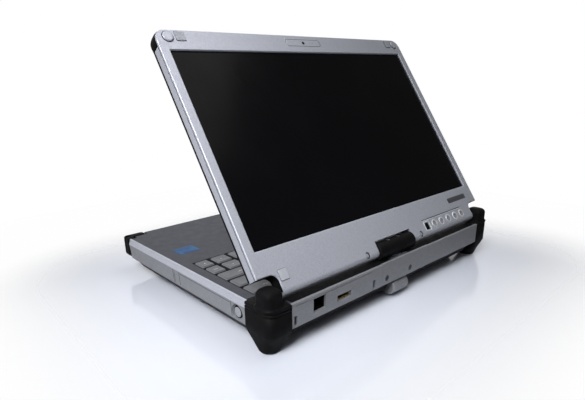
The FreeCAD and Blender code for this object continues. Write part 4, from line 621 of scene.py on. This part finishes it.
def rear_block_rings(low, high):
    """Rings up the block: a foot that turns from a circle into the block's rectangle by a share of each,
    two grooves and a rounded upper edge."""
    center = (low + high)[:2] / 2
    half = (high - low)[:2] / 2
    inset, drop = rounded_edge(BLOCK_EDGE)
    levels = [(BLOCK_FOOT, 0.0)]
    for upper, lower in reversed(GROOVES):
        levels += [(lower - GROOVE_SLOPE, 0.0), (lower, GROOVE_DEEP)]
        levels += [(upper, GROOVE_DEEP), (upper + GROOVE_SLOPE, 0.0)]
    levels += list(zip(BLOCK_TOP - drop, inset))
    rings = [(*center, radius, radius, radius, level) for level, radius in reversed(FOOT_END)]
    for level, shrink, share in reversed(FOOT_RINGS):
        rounder = (1 - share) * (half - shrink) + share * FOOT_RADIUS
        rings.append((*center, *rounder, BLOCK_CORNER + share * FOOT_CORNER_GROWTH, level))
    for level, shrink in levels:
        rings.append((*center, *(half - shrink), BLOCK_CORNER - BLOCK_CORNER_SHRINK * shrink, level))
    return rings


def tower_rings(center, half, top):
    """Rings up the tower: a flared foot, upright sides and a rounded top."""
    inset, drop = rounded_edge(TOWER_ROUND, steps=7)
    levels = list(TOWER_FLARE) + [(level, -shrink) for level, shrink in zip(top - drop, inset)]
    corner = np.full(4, TOWER_CORNER)
    return [(*center, *(half + grow), corner + TOWER_CORNER_GROWTH * grow, level) for level, grow in levels]


def mirrored(rings):
    """The same rings on the other side of the middle, their corners swapped over."""
    order = [1, 0, 3, 2]
    return [(-ring[0], *ring[1:4], np.broadcast_to(ring[4], 4)[order], ring[5]) for ring in rings]


def make_rear_corners():
    """Both rear corners; each moulding takes the CAD corner's place."""
    low, high = (corner / MM for corner in corners("corner_bumper_rear_right"))
    block = rear_block_rings(low, high)
    tower = tower_rings(high[:2] - TOWER_SETBACK - TOWER_HALF, TOWER_HALF, high[2])
    for side, turn in (("right", list), ("left", mirrored)):
        body = loft(f"rear_corner_{side}", turn(block), BUMPER, "base")
        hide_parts(f"corner_bumper_rear_{side}")
        loft(f"rear_tower_{side}", turn(tower), BUMPER, "base")


make_rear_corners()


# Front corners, in millimetres: two arms each, along the front and along the side.

FRONT_ARMS = (("front", (137.75, -108.8), (10.75, 4.2)), ("side", (144.4, -106.5), (4.1, 6.5)))
FRONT_CORNER = np.array((1.5, 3.0, 3.0, 6.0))
FRONT_CORNER_SHRINK = 0.4
FRONT_LEVELS = ((17.6, 2.6), (18.4, 1.2), (19.6, 0.35), (21.0, 0.0))
FRONT_TOP = 37.0
FRONT_ROUND = 1.5


def make_front_corners():
    """Both front corners: arms with a large round on the outer corner and rounded upper and lower
    edges; the arm along the front takes the CAD corner's place."""
    inset, drop = rounded_edge(FRONT_ROUND, steps=6)
    levels = list(FRONT_LEVELS) + list(zip(FRONT_TOP - drop, inset))
    for arm, center, half in FRONT_ARMS:
        rings = [
            (*center, *(np.array(half) - shrink), FRONT_CORNER - FRONT_CORNER_SHRINK * shrink, level)
            for level, shrink in levels
        ]
        for side, turn in (("right", list), ("left", mirrored)):
            piece = loft(f"front_corner_{arm}_{side}", turn(rings), BUMPER, "base")
            if arm == "front":
                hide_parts(f"corner_bumper_front_{side}")


make_front_corners()


# Display: window, lens, bosses, pads, buttons and blank badge, in millimetres in the lid's frame. The
# bezel's face is FACE out from the tilt axis, and the lid's back as far the other way.

FACE = 5.0
RAMP_END = 0.02


def lid_plates(name, centers, halves, finish, slot, **shape):
    """Plates standing on the bezel."""
    return plates(name, LID, centers, halves, finish, slot, "display", **shape)


def frame_strip(name, center, half, finish, body="display", axes=LID, *, corner, width, tall):
    """A flat raised line round a rounded rectangle: four rings, outer foot, outer top, inner top and
    inner foot, joined round into a tube."""
    sizes = ((0.0, 0.0), (0.0, tall), (width, tall), (width, 0.0))
    rings = [
        single_ring(center, half, corner, inset, height, LINE_STEPS)
        for inset, height in sizes + sizes[:1]
    ]
    return ring_piece(name, np.stack(rings), axes, finish, body, smooth=False)


def band(name, path, section, finish, body="display", axes=LID, ramp=0.0):
    """A band along a flat path: each section point lies beside the path by its first number, along the
    path's left-hand normal, and out of the path's plane by its second. Within ramp of both ends it
    thins by the root of the share of the ramp."""
    path = np.array(path)
    section = np.array(section)
    along = np.gradient(path, axis=0)
    along /= np.linalg.norm(along, axis=1)[:, None]
    beside = np.stack((-along[:, 1], along[:, 0]), axis=-1)
    length = np.concatenate(([0.0], np.cumsum(np.linalg.norm(np.diff(path, axis=0), axis=1))))
    share = np.ones(len(path))
    if ramp:
        share = np.clip(np.minimum(length, length[-1] - length) / ramp, RAMP_END, 1.0) ** 0.5
    offset = share[:, None, None] * section[None, :, 0, None] * beside[:, None, :]
    flat = path[:, None, :] + offset
    height = np.broadcast_to(section[None, :, 1, None], flat.shape[:2] + (1,))
    rings = np.concatenate((flat, height), axis=-1)
    return ring_piece(name, close_ends(rings), axes, finish, body, smooth=False)


LID_HALF = 147.0
LID_TOP = 205.9
LID_ROUND = 9.0
LID_SIDE = (LID_HALF - LID_ROUND, LID_TOP - LID_ROUND)
NOTCH_U = 129.5
NOTCH_V = 11.74
NOTCH_FOOT = -1.5
NOTCH_ROUND = 6.0
NOTCH_GAP = 0.3
GASKET_SUNK = 0.25
GUARD_LOW = (193.2, 195.0)
GUARD_IN = (136.6, 135.0)
GUARD_RAMP = 4.0
GUARD_PROUD = 0.95
GUARD_HALF = 4.3
GUARD_MIDDLE = -0.9
GUARD_FOOT = ((0.6, 3.4), (0.6, -5.2))


def arc(center, radius, start, end, steps=9):
    """Points along an arc, angles in degrees."""
    angle = np.radians(np.linspace(start, end, steps))
    return np.array(center) + radius * np.stack((np.cos(angle), np.sin(angle)), axis=-1)


def notch_path():
    """Along a lower notch of the lid, from its foot up to the lid's side."""
    corner = arc((NOTCH_U + NOTCH_ROUND, NOTCH_V - NOTCH_ROUND), NOTCH_ROUND, 180, 90)
    return np.concatenate(([(NOTCH_U, NOTCH_FOOT)], corner, [(LID_HALF - NOTCH_GAP, NOTCH_V)]))


def lid_side_path(inset):
    """Up the lid's side, round its upper corner and along its top to the middle."""
    corner = arc(LID_SIDE, LID_ROUND - inset, 0, 90)
    return np.concatenate(([(LID_HALF - inset, NOTCH_V + NOTCH_GAP)], corner, [(0.0, LID_TOP - inset)]))


def guard_path():
    """Round an upper corner of the lid, from a little below it to a little along the top."""
    corner = arc(LID_SIDE, LID_ROUND, 0, 90)
    side = [(LID_HALF, level) for level in GUARD_LOW]
    top = [(across, LID_TOP) for across in GUARD_IN]
    return np.concatenate((side, corner, top))


def flat_section(inner, outer, low, high):
    """A four-cornered section of a band, from inner to outer beside its path and from low to high."""
    return ((inner, low), (outer, low), (outer, high), (inner, high))


def both_bands(name, path, section, finish, ramp=0.0):
    """A band on the right half of the lid and its mirror image on the left half."""
    turned = path * np.array((-1, 1))
    away = [(-beside, out) for beside, out in section]
    band(f"{name}_right", path, section, finish, ramp=ramp)
    band(f"{name}_left", turned, away, finish, ramp=ramp)


def make_lid_edges():
    """Black lining of the notches, the dark gasket in the lid's seam and black crescents on its corners.
    A crescent stands proud by the cosine, to the power 0.6, of its turn from back to front."""
    lining = flat_section(inner=0.1, outer=-0.28, low=-4.6, high=4.4)
    both_bands("notch_lining", notch_path(), lining, BUMPER)
    gasket = flat_section(inner=1.2, outer=0.0, low=2.5, high=3.5)
    both_bands("lid_gasket", lid_side_path(GASKET_SUNK), gasket, BLACK_AND_SHADE)
    turn = np.radians(np.linspace(-90, 90, 9))
    proud = -GUARD_PROUD * np.cos(turn) ** 0.6
    crescent = [*GUARD_FOOT, *zip(proud, GUARD_HALF * np.sin(turn) + GUARD_MIDDLE)]
    both_bands("lid_corner_guard", guard_path(), crescent, BUMPER, ramp=GUARD_RAMP)


def round_plates(name, centers, finish, slot, body="display", axes=LID, *, radius, **shape):
    """Round plates in a frame: plates whose corners are as large as their halves."""
    return plates(name, axes, centers, (radius, radius), finish, slot, body, corner=radius, **shape)


DIMPLE_U = 38.2
DIMPLE_FLOOR = 4.2
# The heads sit off centre so the painted shade on the dimples' floors shows as a crescent on one side.
DIMPLE_HEAD_SHIFT = 0.7


def make_dimple_plugs():
    """Domed screw heads in the two dimples beside the hinge, each on a dark disc of painted shade on the dimple's
    floor.
    """
    places = [(side * DIMPLE_U, 0.0, DIMPLE_FLOOR) for side in (1, -1)]
    round_plates("dimple_shade_discs", places, BLACK_AND_SHADE, "rubber", radius=2.7, tall=0.06, edge=0.03)
    heads = [(across - DIMPLE_HEAD_SHIFT, up, out) for across, up, out in places]
    round_plates("dimple_screws", heads, BUTTON_GREY, "screw_steel", radius=1.9, tall=0.7, edge=0.5)


CAMERA_HOLES = (8.5, 11.5)
WINDOW_PROUD = 0.02
WINDOW_LAP = 0.35
WINDOW_LINE_INSET = 0.2


def make_camera_window():
    """Silver window plate with a fine line round it, a small lens and two pin holes."""
    low, high = (corner / MM for corner in lid_span("webcam_window"))
    across, up = ((low + high) / 2)[:2]
    half = (high - low)[:2] / 2
    tall = FACE + WINDOW_PROUD - low[2]
    plate = lid_plates("camera_window_plate", [(across, up, low[2])], half + WINDOW_LAP, SILVER_LID,
                       "silver_lid", corner=0.5, tall=tall, edge=WINDOW_PROUD)
    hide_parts("webcam_window")
    frame_strip("camera_window_line", (across, up, FACE + WINDOW_PROUD / 2), half - WINDOW_LINE_INSET,
                DARK_LINE_AND_SHADE, corner=3.2, width=0.35, tall=0.04)
    middle = [(across, up, FACE)]
    round_plates("camera_lens_ring", middle, DARK_LINE_AND_SHADE, "rubber", radius=1.6, tall=0.1, edge=0.08)
    round_plates("camera_lens", middle, LENS, "screen_glass", radius=1.15, tall=0.22, edge=0.15)
    holes = [(across + step, up, FACE) for step in CAMERA_HOLES]
    round_plates("camera_pin_holes", holes, DARK_LINE_AND_SHADE, "rubber", radius=0.35, tall=0.05, edge=0.03)


DOME_SHADOW_RIM = 0.55


def make_corner_domes():
    """Domed bosses in the upper corners, each on a dark ring of painted shadow round its foot."""
    low, high = (corner / MM for corner in lid_span("corner_bosses"))
    radius = (high[1] - low[1]) / 2
    places = [(side * (high[0] - radius), (low[1] + high[1]) / 2, FACE) for side in (1, -1)]
    dark_ring = radius + DOME_SHADOW_RIM
    # The dark ring round each dome is a painted shadow at its foot.
    round_plates("corner_dome_shadow_rings", places, DARK_LINE_AND_SHADE, "rubber", radius=dark_ring, tall=0.06, edge=0.05)
    domes = round_plates("corner_domes", places, SILVER_LID, "silver_lid", radius=radius, tall=0.9, edge=0.75)
    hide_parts("corner_bosses")


PAD_PLACES = ((126.5, 200.2, FACE), (-126.5, 200.2, FACE), (-124.0, 9.4, FACE))
PAD_HALF = 4.0
PAD_SEAT_RIM = 0.25


def make_pads():
    """Square pads with soft edges on dark seats."""
    dark_ring = (PAD_HALF + PAD_SEAT_RIM,) * 2
    lid_plates("bezel_pad_seats", PAD_PLACES, dark_ring, DARK_LINE_AND_SHADE, "rubber", corner=0.9, tall=0.06, edge=0.04)
    pads = lid_plates("bezel_pad_tops", PAD_PLACES, (PAD_HALF,) * 2, PAD_GREY, "rubber", corner=0.8,
                      tall=0.6, edge=0.3)
    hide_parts("bezel_pads")


BUTTON_V = 4.6
BUTTON_FIRST = 63.0
BUTTON_PITCH = 12.1
BUTTON_RADIUS = 3.0
BUTTON_COUNT = 5
BUTTON_PROUD = 0.35
BUTTON_DISH = 0.55
BUTTON_RIM = 0.85
RIM_BEAD = 0.5
SWITCH_U = 51.3
SWITCH_HALF = (4.5, 4.7)
SWITCH_CORNER = 1.8
STRIP_U = 79.5
STRIP_V = 10.8
STRIP_HALF = 33.5
STRIP_STEP = 0.6


def make_buttons():
    """Dished round buttons, each in a raised rim in bright paint as a painted highlight, the switch's rim the
    same, and a dark line of painted shade with a bright line of painted highlight below it along the top of the
    row."""
    places = [(BUTTON_FIRST + number * BUTTON_PITCH, BUTTON_V) for number in range(BUTTON_COUNT)]
    for number, place in enumerate(places, start=1):
        node = f"display_button_{number}"
        foot = lid_span(node)[0][2] / MM
        tall = FACE + BUTTON_PROUD - foot
        cap = round_plates(f"button_cap_{number}", [(*place, foot)], BUTTON_GREY, "button_plastic",
                           f"button_{number}", radius=BUTTON_RADIUS, tall=tall, edge=0.45, dish=BUTTON_DISH)
        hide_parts(node)
    rim = BUTTON_RADIUS + BUTTON_RIM
    # The bright rims are a painted highlight round the buttons and the switch.
    for number, place in enumerate(places, start=1):
        bead(f"button_rim_highlight_{number}", (*place, FACE), (rim, rim), rim)
    bead("switch_rim_highlight", (SWITCH_U, BUTTON_V, FACE), SWITCH_HALF, SWITCH_CORNER)
    # A painted shade line with a painted highlight line below it stands for the groove above the row.
    lid_plates("strip_shade", [(STRIP_U, STRIP_V, FACE)], (STRIP_HALF, 0.3), DARK_LINE_AND_SHADE, "rubber",
               corner=0.2, tall=0.04, edge=0.02)
    lid_plates("strip_gleam", [(STRIP_U, STRIP_V - STRIP_STEP, FACE)], (STRIP_HALF, 0.25), SILVER_BUTTON_AND_HIGHLIGHT,
               "silver_lid", corner=0.2, tall=0.1, edge=0.05)


def bead(name, center, half, corner):
    """A half-sunk bead in bright paint, a painted highlight, along a rounded rectangle: rings drawn in by
    radius * (1 - cos) and raised by a share of radius * sin, over a full turn."""
    rings = [
        single_ring(center, half, corner, RIM_BEAD - RIM_BEAD * np.cos(angle),
                    BEAD_RISE * RIM_BEAD * np.sin(angle), BEAD_STEPS)
        for angle in np.linspace(0, 2 * np.pi, BEAD_AROUND + 1)
    ]
    return ring_piece(name, np.stack(rings), LID, SILVER_BUTTON_AND_HIGHLIGHT, "display")


BADGE_PLACE = (115.2, 19.9, FACE)
BADGE_HALF = (16.2, 2.5)


def make_badge():
    """Blank dark plate near the screen's lower corner."""
    lid_plates("blank_badge", [BADGE_PLACE], BADGE_HALF, BADGE, "rubber", corner=0.4, tall=0.12, edge=0.08)


BACK_V = 98.0
BACK_HALF = np.array((112.0, 66.0))
BACK_LINE_INSET = 8.0


def make_lid_back():
    """Raised panel, a line on it and edge trim on the lid's back; the panel stays clear of the deck when
    the lid is shut."""
    plates("lid_back_panel", LID_BACK, [(0.0, BACK_V, FACE)], BACK_HALF, SILVER_LID, "silver_lid", "display",
           corner=14.0, tall=0.55, edge=0.5)
    frame_strip("lid_back_line", (0.0, BACK_V, FACE + 0.5), BACK_HALF - BACK_LINE_INSET, DARK_LINE_AND_SHADE,
                axes=LID_BACK, corner=10.0, width=0.6, tall=0.08)
    trim = flat_section(inner=0.4, outer=-0.15, low=-4.9, high=-3.2)
    both_bands("lid_edge_trim", lid_side_path(0.0), trim, BUMPER)


make_lid_edges()
make_dimple_plugs()
make_camera_window()
make_corner_domes()
make_pads()
make_buttons()
make_badge()
make_lid_back()


# Base, in millimetres: sticker, shoulder strips as a painted highlight, deck strips and screw crosses as painted
# shade, and socket contacts. Below the waist the side walls lean in, above it they slope to the deck.

CASE_X = 148.0
WAIST = 31.0
DECK = 36.4
WALL_LEAN = 4.0
STICKER_PLACE = (122.6, -32.4, DECK)
STICKER_HALF = (10.2, 8.0)


def make_sticker():
    """Plain sticker on the palm rest."""
    plates("plain_sticker", FLAT, [STICKER_PLACE], STICKER_HALF, STICKER, "deck_paint", corner=1.2,
           tall=0.1, edge=0.06)


BARREL_EDGE = 1.2


def make_strap_barrel():
    """Round-nosed tongue below the rear panel: a half circle behind two flat sides, carried along its
    width and shrunk towards the nose's centre at both ends."""
    low, high = (corner / MM for corner in corners("strap_anchor"))
    radius = (high[2] - low[2]) / 2
    middle = (low[2] + high[2]) / 2
    nose = arc((high[1] - radius, middle), radius, 90, -90, steps=17)
    section = np.concatenate(([(low[1], high[2])], nose, [(low[1], low[2])]))
    half = (high[0] - low[0]) / 2
    inset, drop = rounded_edge(BARREL_EDGE)
    steps = np.concatenate((-half + drop[::-1], half - drop))
    shrink = np.concatenate((inset[::-1], inset))
    heart = np.array((high[1] - radius, middle))
    size = (radius - shrink) / radius
    flat = heart + (section - heart)[None] * size[:, None, None]
    flat[..., 0] = np.maximum(flat[..., 0], low[1])
    across = np.broadcast_to(steps[:, None, None], flat.shape[:2] + (1,))
    rings = np.concatenate((across + (low[0] + high[0]) / 2, flat), axis=-1)
    barrel = ring_piece("strap_barrel", close_ends(rings), FLAT, SILVER_CASE_SHADED, "base")
    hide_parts("strap_anchor")


RELEASE_RIM = 1.0
RELEASE_RIM_LOW = 0.2
RELEASE_DISC_SUNK = 0.6


def make_release_button():
    """Pale disc on the battery release button, inside its dark rim."""
    low, high = (corner / MM for corner in corners("battery_release_button"))
    place = ((low[1] + high[1]) / 2, (low[2] + high[2]) / 2, low[0])
    radius = (high[1] - low[1]) / 2
    tall = high[0] - low[0]
    rim = round_plates("release_rim", [place], BLACK_AND_SHADE, "button_plastic", "battery_release", SIDE,
                       radius=radius, tall=tall - RELEASE_RIM_LOW, edge=0.3)
    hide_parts("battery_release_button")
    disc = (place[0], place[1], high[0] - RELEASE_DISC_SUNK)
    round_plates("release_disc", [disc], BUTTON_GREY, "button_plastic", "battery_release", SIDE,
                 radius=radius - RELEASE_RIM, tall=0.75, edge=0.4)


# The shoulder strips carry the lid's brighter paint as a painted highlight on the base's lit upper facet.
SHOULDER_GAP = 0.15
SHOULDER_POINTS = 9


def make_shoulder_highlights():
    """Strips along the sloping shoulders of both sides in the lid's brighter paint, a painted highlight on the lit
    upper
    facet: a strip a little proud of the slope, rounded over the deck's edge. Section points are (in from the side,
    height)."""
    front = corners("corner_bumper_front_right")[1][1] / MM + SHOULDER_GAP
    rear = corners("corner_bumper_rear_right")[0][1] / MM - SHOULDER_GAP
    rim = CASE_X - corners("deck_cover")[1][0] / MM - SHOULDER_GAP
    section = (
        (-SHOULDER_GAP, WAIST + 0.15),
        (rim, DECK - 1.6),
        (rim, DECK - 0.75),
        (rim + 0.25, DECK - 0.2),
        (rim + 0.75, DECK + 0.12),
        (rim + 1.4, DECK + 0.15),
        (rim + 1.4, DECK - 0.2),
        (rim + 0.5, DECK - 1.6),
        (0.5, WAIST + 0.15),
    )
    for side, ends in (("right", (front, rear)), ("left", (rear, front))):
        half = CASE_X if side == "right" else -CASE_X
        path = np.stack((np.full(SHOULDER_POINTS, half), np.linspace(*ends, SHOULDER_POINTS)), axis=-1)
        band(f"shoulder_highlight_{side}", path, section, SILVER_LID, "base", FLAT)


SEAM_PLACES = (-14.0, -12.0, -3.85, 69.45)
SEAM_BELOW_WAIST = 6.7
SEAM_HALF = (0.26, 6.1)
PANEL_LINE_PLACE = (32.8, -1.7, -0.02)
PANEL_LINE_HALF = (35.6, 0.2)


def make_side_seams():
    """Fine dark upright seams beside the battery panel and a line along it, on the leaning lower wall."""
    lean = np.radians(WALL_LEAN)
    out = np.array((np.cos(lean), 0.0, -np.sin(lean)))
    up = np.array((np.sin(lean), 0.0, np.cos(lean)))
    wall = (np.array((CASE_X, 0.0, WAIST)) * MM, SIDE[1], up, out)
    places = [(along, -SEAM_BELOW_WAIST, 0.0) for along in SEAM_PLACES]
    plates("side_seams", wall, places, SEAM_HALF, DARK_LINE_AND_SHADE, "rubber", corner=0.1, tall=0.05, edge=0.02)
    plates("battery_panel_line", wall, [PANEL_LINE_PLACE], PANEL_LINE_HALF, DARK_LINE_AND_SHADE, "rubber", "battery",
           corner=0.1, tall=0.06, edge=0.02)


# Black strips of painted shade on the deck's rear, where the lid shades it.
HINGE_SHADE_X = 69.0
HINGE_SHADE_Y = 104.9
HINGE_SHADE_HALF = (57.0, 5.4)


def make_hinge_shade_strips():
    """Black strips on the deck between the hinge and the towers: painted shade where the lid shades the deck."""
    places = [(side * HINGE_SHADE_X, HINGE_SHADE_Y, DECK) for side in (1, -1)]
    plates("hinge_shade_strips", FLAT, places, HINGE_SHADE_HALF, BLACK_AND_SHADE, "rubber", corner=1.0, tall=0.08, edge=0.04)


WIRE_COUNT = 8
WIRE_PITCH = 1.02
WIRE_BELOW_TOP = 2.0
WIRE_DEEP = 9.5
WIRE_HALF = (0.25, 0.4)
VIDEO_Z = 25.0
VIDEO_HALF = (7.7, 2.2)
VIDEO_SUNK = 0.4
TONGUE_Z = 25.9
TONGUE_DEEP = 10.4
TONGUE_HALF = (5.2, 0.45)


def make_socket_contacts():
    """Eight wires in the network socket, and the shell and the tongue of the video socket."""
    low, high = (corner / MM for corner in corners("lan_jack"))
    steps = WIRE_PITCH * (np.arange(WIRE_COUNT) - (WIRE_COUNT - 1) / 2)
    across = -((low[0] + high[0]) / 2 + steps)
    wires = [(step, high[2] - WIRE_BELOW_TOP, high[1] - WIRE_DEEP) for step in across]
    plates("network_contacts", REAR, wires, WIRE_HALF, GOLD, "gold_contact", corner=0.1, tall=6.0, edge=0.1)
    low, high = (corner / MM for corner in corners("video_jack"))
    middle = (low[0] + high[0]) / 2
    mouth = (-middle, VIDEO_Z, high[1] - VIDEO_SUNK)
    frame_strip("video_shell", mouth, VIDEO_HALF, GOLD, "base", REAR, corner=0.9, width=0.75,
                tall=0.5)
    tongue = (-middle, TONGUE_Z, high[1] - TONGUE_DEEP)
    plates("video_tongue", REAR, [tongue], TONGUE_HALF, BLACK_AND_SHADE, "black_plastic", corner=0.2, tall=8.2,
           edge=0.15)


REAR_SCREWS = (("a", 20.7), ("b", -12.2))
REAR_SCREW_Z = 23.0
REAR_SCREW_Y = 112.1
REAR_CROSS = [(1.5, 0.3), (0.3, 1.5)]
HOUSING_SCREW_X = 7.0
HOUSING_SCREW_Y = 101.3
HOUSING_CROSS = [(1.0, 0.25), (0.25, 1.0)]


def make_screw_recess_shades():
    """Dark crosses of painted shade on the screws of the rear panel and the hinge housing, where their cross
    recesses are.
    """
    # Each dark cross is painted shade standing for the screw's cross recess.
    for letter, across in REAR_SCREWS:
        spots = [(-across, REAR_SCREW_Z, REAR_SCREW_Y)] * 2
        plates(f"rear_screw_recess_shade_{letter}", REAR, spots, REAR_CROSS, DARK_LINE_AND_SHADE, "screw_steel",
               corner=0.15, tall=0.05, edge=0.02)
    top = corners("housing_screws")[1][2] / MM
    spots = [(side * HOUSING_SCREW_X, HOUSING_SCREW_Y, top) for side in (1, 1, -1, -1)]
    plates("housing_screw_recess_shades", FLAT, spots, HOUSING_CROSS * 2, DARK_LINE_AND_SHADE, "screw_steel", "swivel",
           corner=0.12, tall=0.05, edge=0.02)


make_sticker()
make_strap_barrel()
make_release_button()
make_shoulder_highlights()
make_side_seams()
make_hinge_shade_strips()
make_socket_contacts()
make_screw_recess_shades()


# Stage, light and camera. The image size, the focal length and the principal point are in pixels.

PHOTO_WIDTH = 585
PHOTO_HEIGHT = 400
FOCAL = 454.59
PRINCIPAL = (258.74, 240.35)
CAMERA_AT = np.array((316.05, 312.22, 176.62)) * MM
CAMERA_RIGHT = (-0.7698, 0.6374, -0.0344)
CAMERA_UP = (-0.2321, -0.2293, 0.9453)
CAMERA_BACK = (0.5946, 0.7357, 0.3244)
SENSOR = 36.0
FLOOR_REACH = 0.42
FLOOR_FADE_START = 0.0
FLOOR_FADE_END = 0.15
FLOOR_CLEAR = 0.985
BASE_HALF = (0.1485, 0.113, 0.0)
FLOOR_BOUNCE = (0.36, 0.37, 0.39)
FLOOR_COLOR = (0.62, 0.65, 0.735)
WORLD_LIGHT = 0.14
WORLD_NEAR = 0.1
BACKDROP_WAY = (-0.25, -0.97, 0.0)
BACKDROP_EDGE = (0.1, 0.7)
STEEP = 0.9


def make_camera():
    """A camera at the photograph's viewpoint, with its framing."""
    data = bpy.data.cameras.new("photo_camera")
    data.sensor_width = SENSOR
    data.lens = FOCAL / PHOTO_WIDTH * SENSOR
    data.shift_x = (PHOTO_WIDTH / 2 - PRINCIPAL[0]) / PHOTO_WIDTH
    data.shift_y = (PRINCIPAL[1] - PHOTO_HEIGHT / 2) / PHOTO_WIDTH
    data.clip_start = 0.01
    item = bpy.data.objects.new("photo_camera", data)
    columns = np.array((CAMERA_RIGHT, CAMERA_UP, CAMERA_BACK)).T
    item.matrix_world = Matrix.Translation(CAMERA_AT) @ Matrix(columns.tolist()).to_4x4()
    bpy.context.scene.collection.objects.link(item)
    bpy.context.scene.camera = item


def seen(tree):
    """1 for what the camera sees straight, in gloss or through glass, and 0 for light that falls on
    things."""
    path = tree.nodes.new("ShaderNodeLightPath")
    total = path.outputs["Is Camera Ray"]
    for ray in ("Is Glossy Ray", "Is Transmission Ray"):
        either = tree.nodes.new("ShaderNodeMath")
        either.operation = "MAXIMUM"
        tree.links.new(total, either.inputs[0])
        tree.links.new(path.outputs[ray], either.inputs[1])
        total = either.outputs["Value"]
    return total


def make_floor():
    """A pale floor with a faint gloss, fading into the white surroundings with the distance from the
    base's rectangle. It throws less light back on the object than it shows."""
    finish = Finish("floor_white", FLOOR_BOUNCE, 0.1, Specular_IOR_Level=1.0)
    finish.tint(seen(finish.tree), FLOOR_COLOR)
    finish.rough(finish.noise(0.4), 0.08, 0.13)
    vector = finish.coordinates()
    for operation, other in (("ABSOLUTE", None), ("SUBTRACT", BASE_HALF), ("MAXIMUM", (0.0, 0.0, 0.0))):
        step = finish.node("ShaderNodeVectorMath", operation=operation)
        finish.link(vector, step.inputs[0])
        if other:
            step.inputs[1].default_value = other
        vector = step.outputs["Vector"]
    distance = finish.node("ShaderNodeVectorMath", operation="LENGTH")
    finish.link(vector, distance.inputs[0])
    fade = finish.spread(distance.outputs["Value"], 0.0, FLOOR_CLEAR, FLOOR_FADE_START, FLOOR_FADE_END)
    fade.node.interpolation_type = "SMOOTHSTEP"
    clear = finish.node("ShaderNodeBsdfTransparent")
    mix = finish.node("ShaderNodeMixShader")
    finish.link(fade, mix.inputs["Fac"])
    finish.link(finish.shader.outputs["BSDF"], mix.inputs[1])
    finish.link(clear.outputs["BSDF"], mix.inputs[2])
    finish.link(mix.outputs["Shader"], finish.tree.nodes["Material Output"].inputs["Surface"])
    half = FLOOR_REACH
    points = np.array(((-half, -half, 0), (half, -half, 0), (half, half, 0), (-half, half, 0)))
    mesh = bpy.data.meshes.new("floor")
    mesh.from_pydata(points.tolist(), [], [(0, 1, 2, 3)])
    mesh.materials.append(finish.material)
    floor = bpy.data.objects.new("floor", mesh)
    bpy.context.scene.collection.objects.link(floor)


def make_world():
    """White surroundings. Diffuse light from them is dim; gloss shows them white on the far side of the
    studio and dim on the near side, where the photographer stands."""
    world = bpy.data.worlds.new("studio")
    world.use_nodes = True
    tree = world.node_tree
    background = tree.nodes["Background"]
    path = tree.nodes.new("ShaderNodeLightPath")
    where = tree.nodes.new("ShaderNodeTexCoord")
    facing = tree.nodes.new("ShaderNodeVectorMath")
    facing.operation = "DOT_PRODUCT"
    facing.inputs[1].default_value = BACKDROP_WAY
    tree.links.new(where.outputs["Generated"], facing.inputs[0])
    backdrop = tree.nodes.new("ShaderNodeMapRange")
    backdrop.inputs["From Min"].default_value = BACKDROP_EDGE[0]
    backdrop.inputs["From Max"].default_value = BACKDROP_EDGE[1]
    backdrop.inputs["To Min"].default_value = WORLD_NEAR
    backdrop.inputs["To Max"].default_value = 1.0
    tree.links.new(facing.outputs["Value"], backdrop.inputs["Value"])
    strength = mix_values(tree, seen(tree), WORLD_LIGHT, backdrop.outputs["Result"])
    strength = mix_values(tree, path.outputs["Is Camera Ray"], strength, 1.0)
    tree.links.new(strength, background.inputs["Strength"])
    background.inputs["Color"].default_value = (1.0, 1.0, 1.0, 1.0)
    bpy.context.scene.world = world


def mix_values(tree, factor, first, second):
    """A number between two others; each may be a plain number or a node's output."""
    mix = tree.nodes.new("ShaderNodeMix")
    tree.links.new(factor, mix.inputs["Factor"])
    for socket, value in (("A", first), ("B", second)):
        if isinstance(value, float):
            mix.inputs[socket].default_value = value
        else:
            tree.links.new(value, mix.inputs[socket])
    return mix.outputs["Result"]


def make_lamp(name, place, target, side, power, spread):
    """A soft square lamp at a place, facing a target, its beam spread in degrees."""
    data = bpy.data.lights.new(name, "AREA")
    data.size = side
    data.energy = power
    data.spread = np.radians(spread)
    item = bpy.data.objects.new(name, data)
    back = np.array(place, dtype=float) - np.array(target, dtype=float)
    back /= np.linalg.norm(back)
    level = (0.0, 1.0, 0.0) if abs(back[2]) > STEEP else (0.0, 0.0, 1.0)
    right = np.cross(level, back)
    right /= np.linalg.norm(right)
    columns = np.array((right, np.cross(back, right), back)).T
    item.matrix_world = Matrix.Translation(place) @ Matrix(columns.tolist()).to_4x4()
    bpy.context.scene.collection.objects.link(item)


make_camera()
make_floor()
make_world()
make_lamp("overhead", place=(-0.25, 0.28, 1.3), target=(0.05, 0.05, 0.1), side=0.9, power=6.0, spread=180)
make_lamp("left_side", place=(0.55, 0.25, 0.55), target=(0.14, 0.06, 0.08), side=0.35, power=0.8, spread=45)
bpy.context.scene.view_settings.view_transform = "Standard"
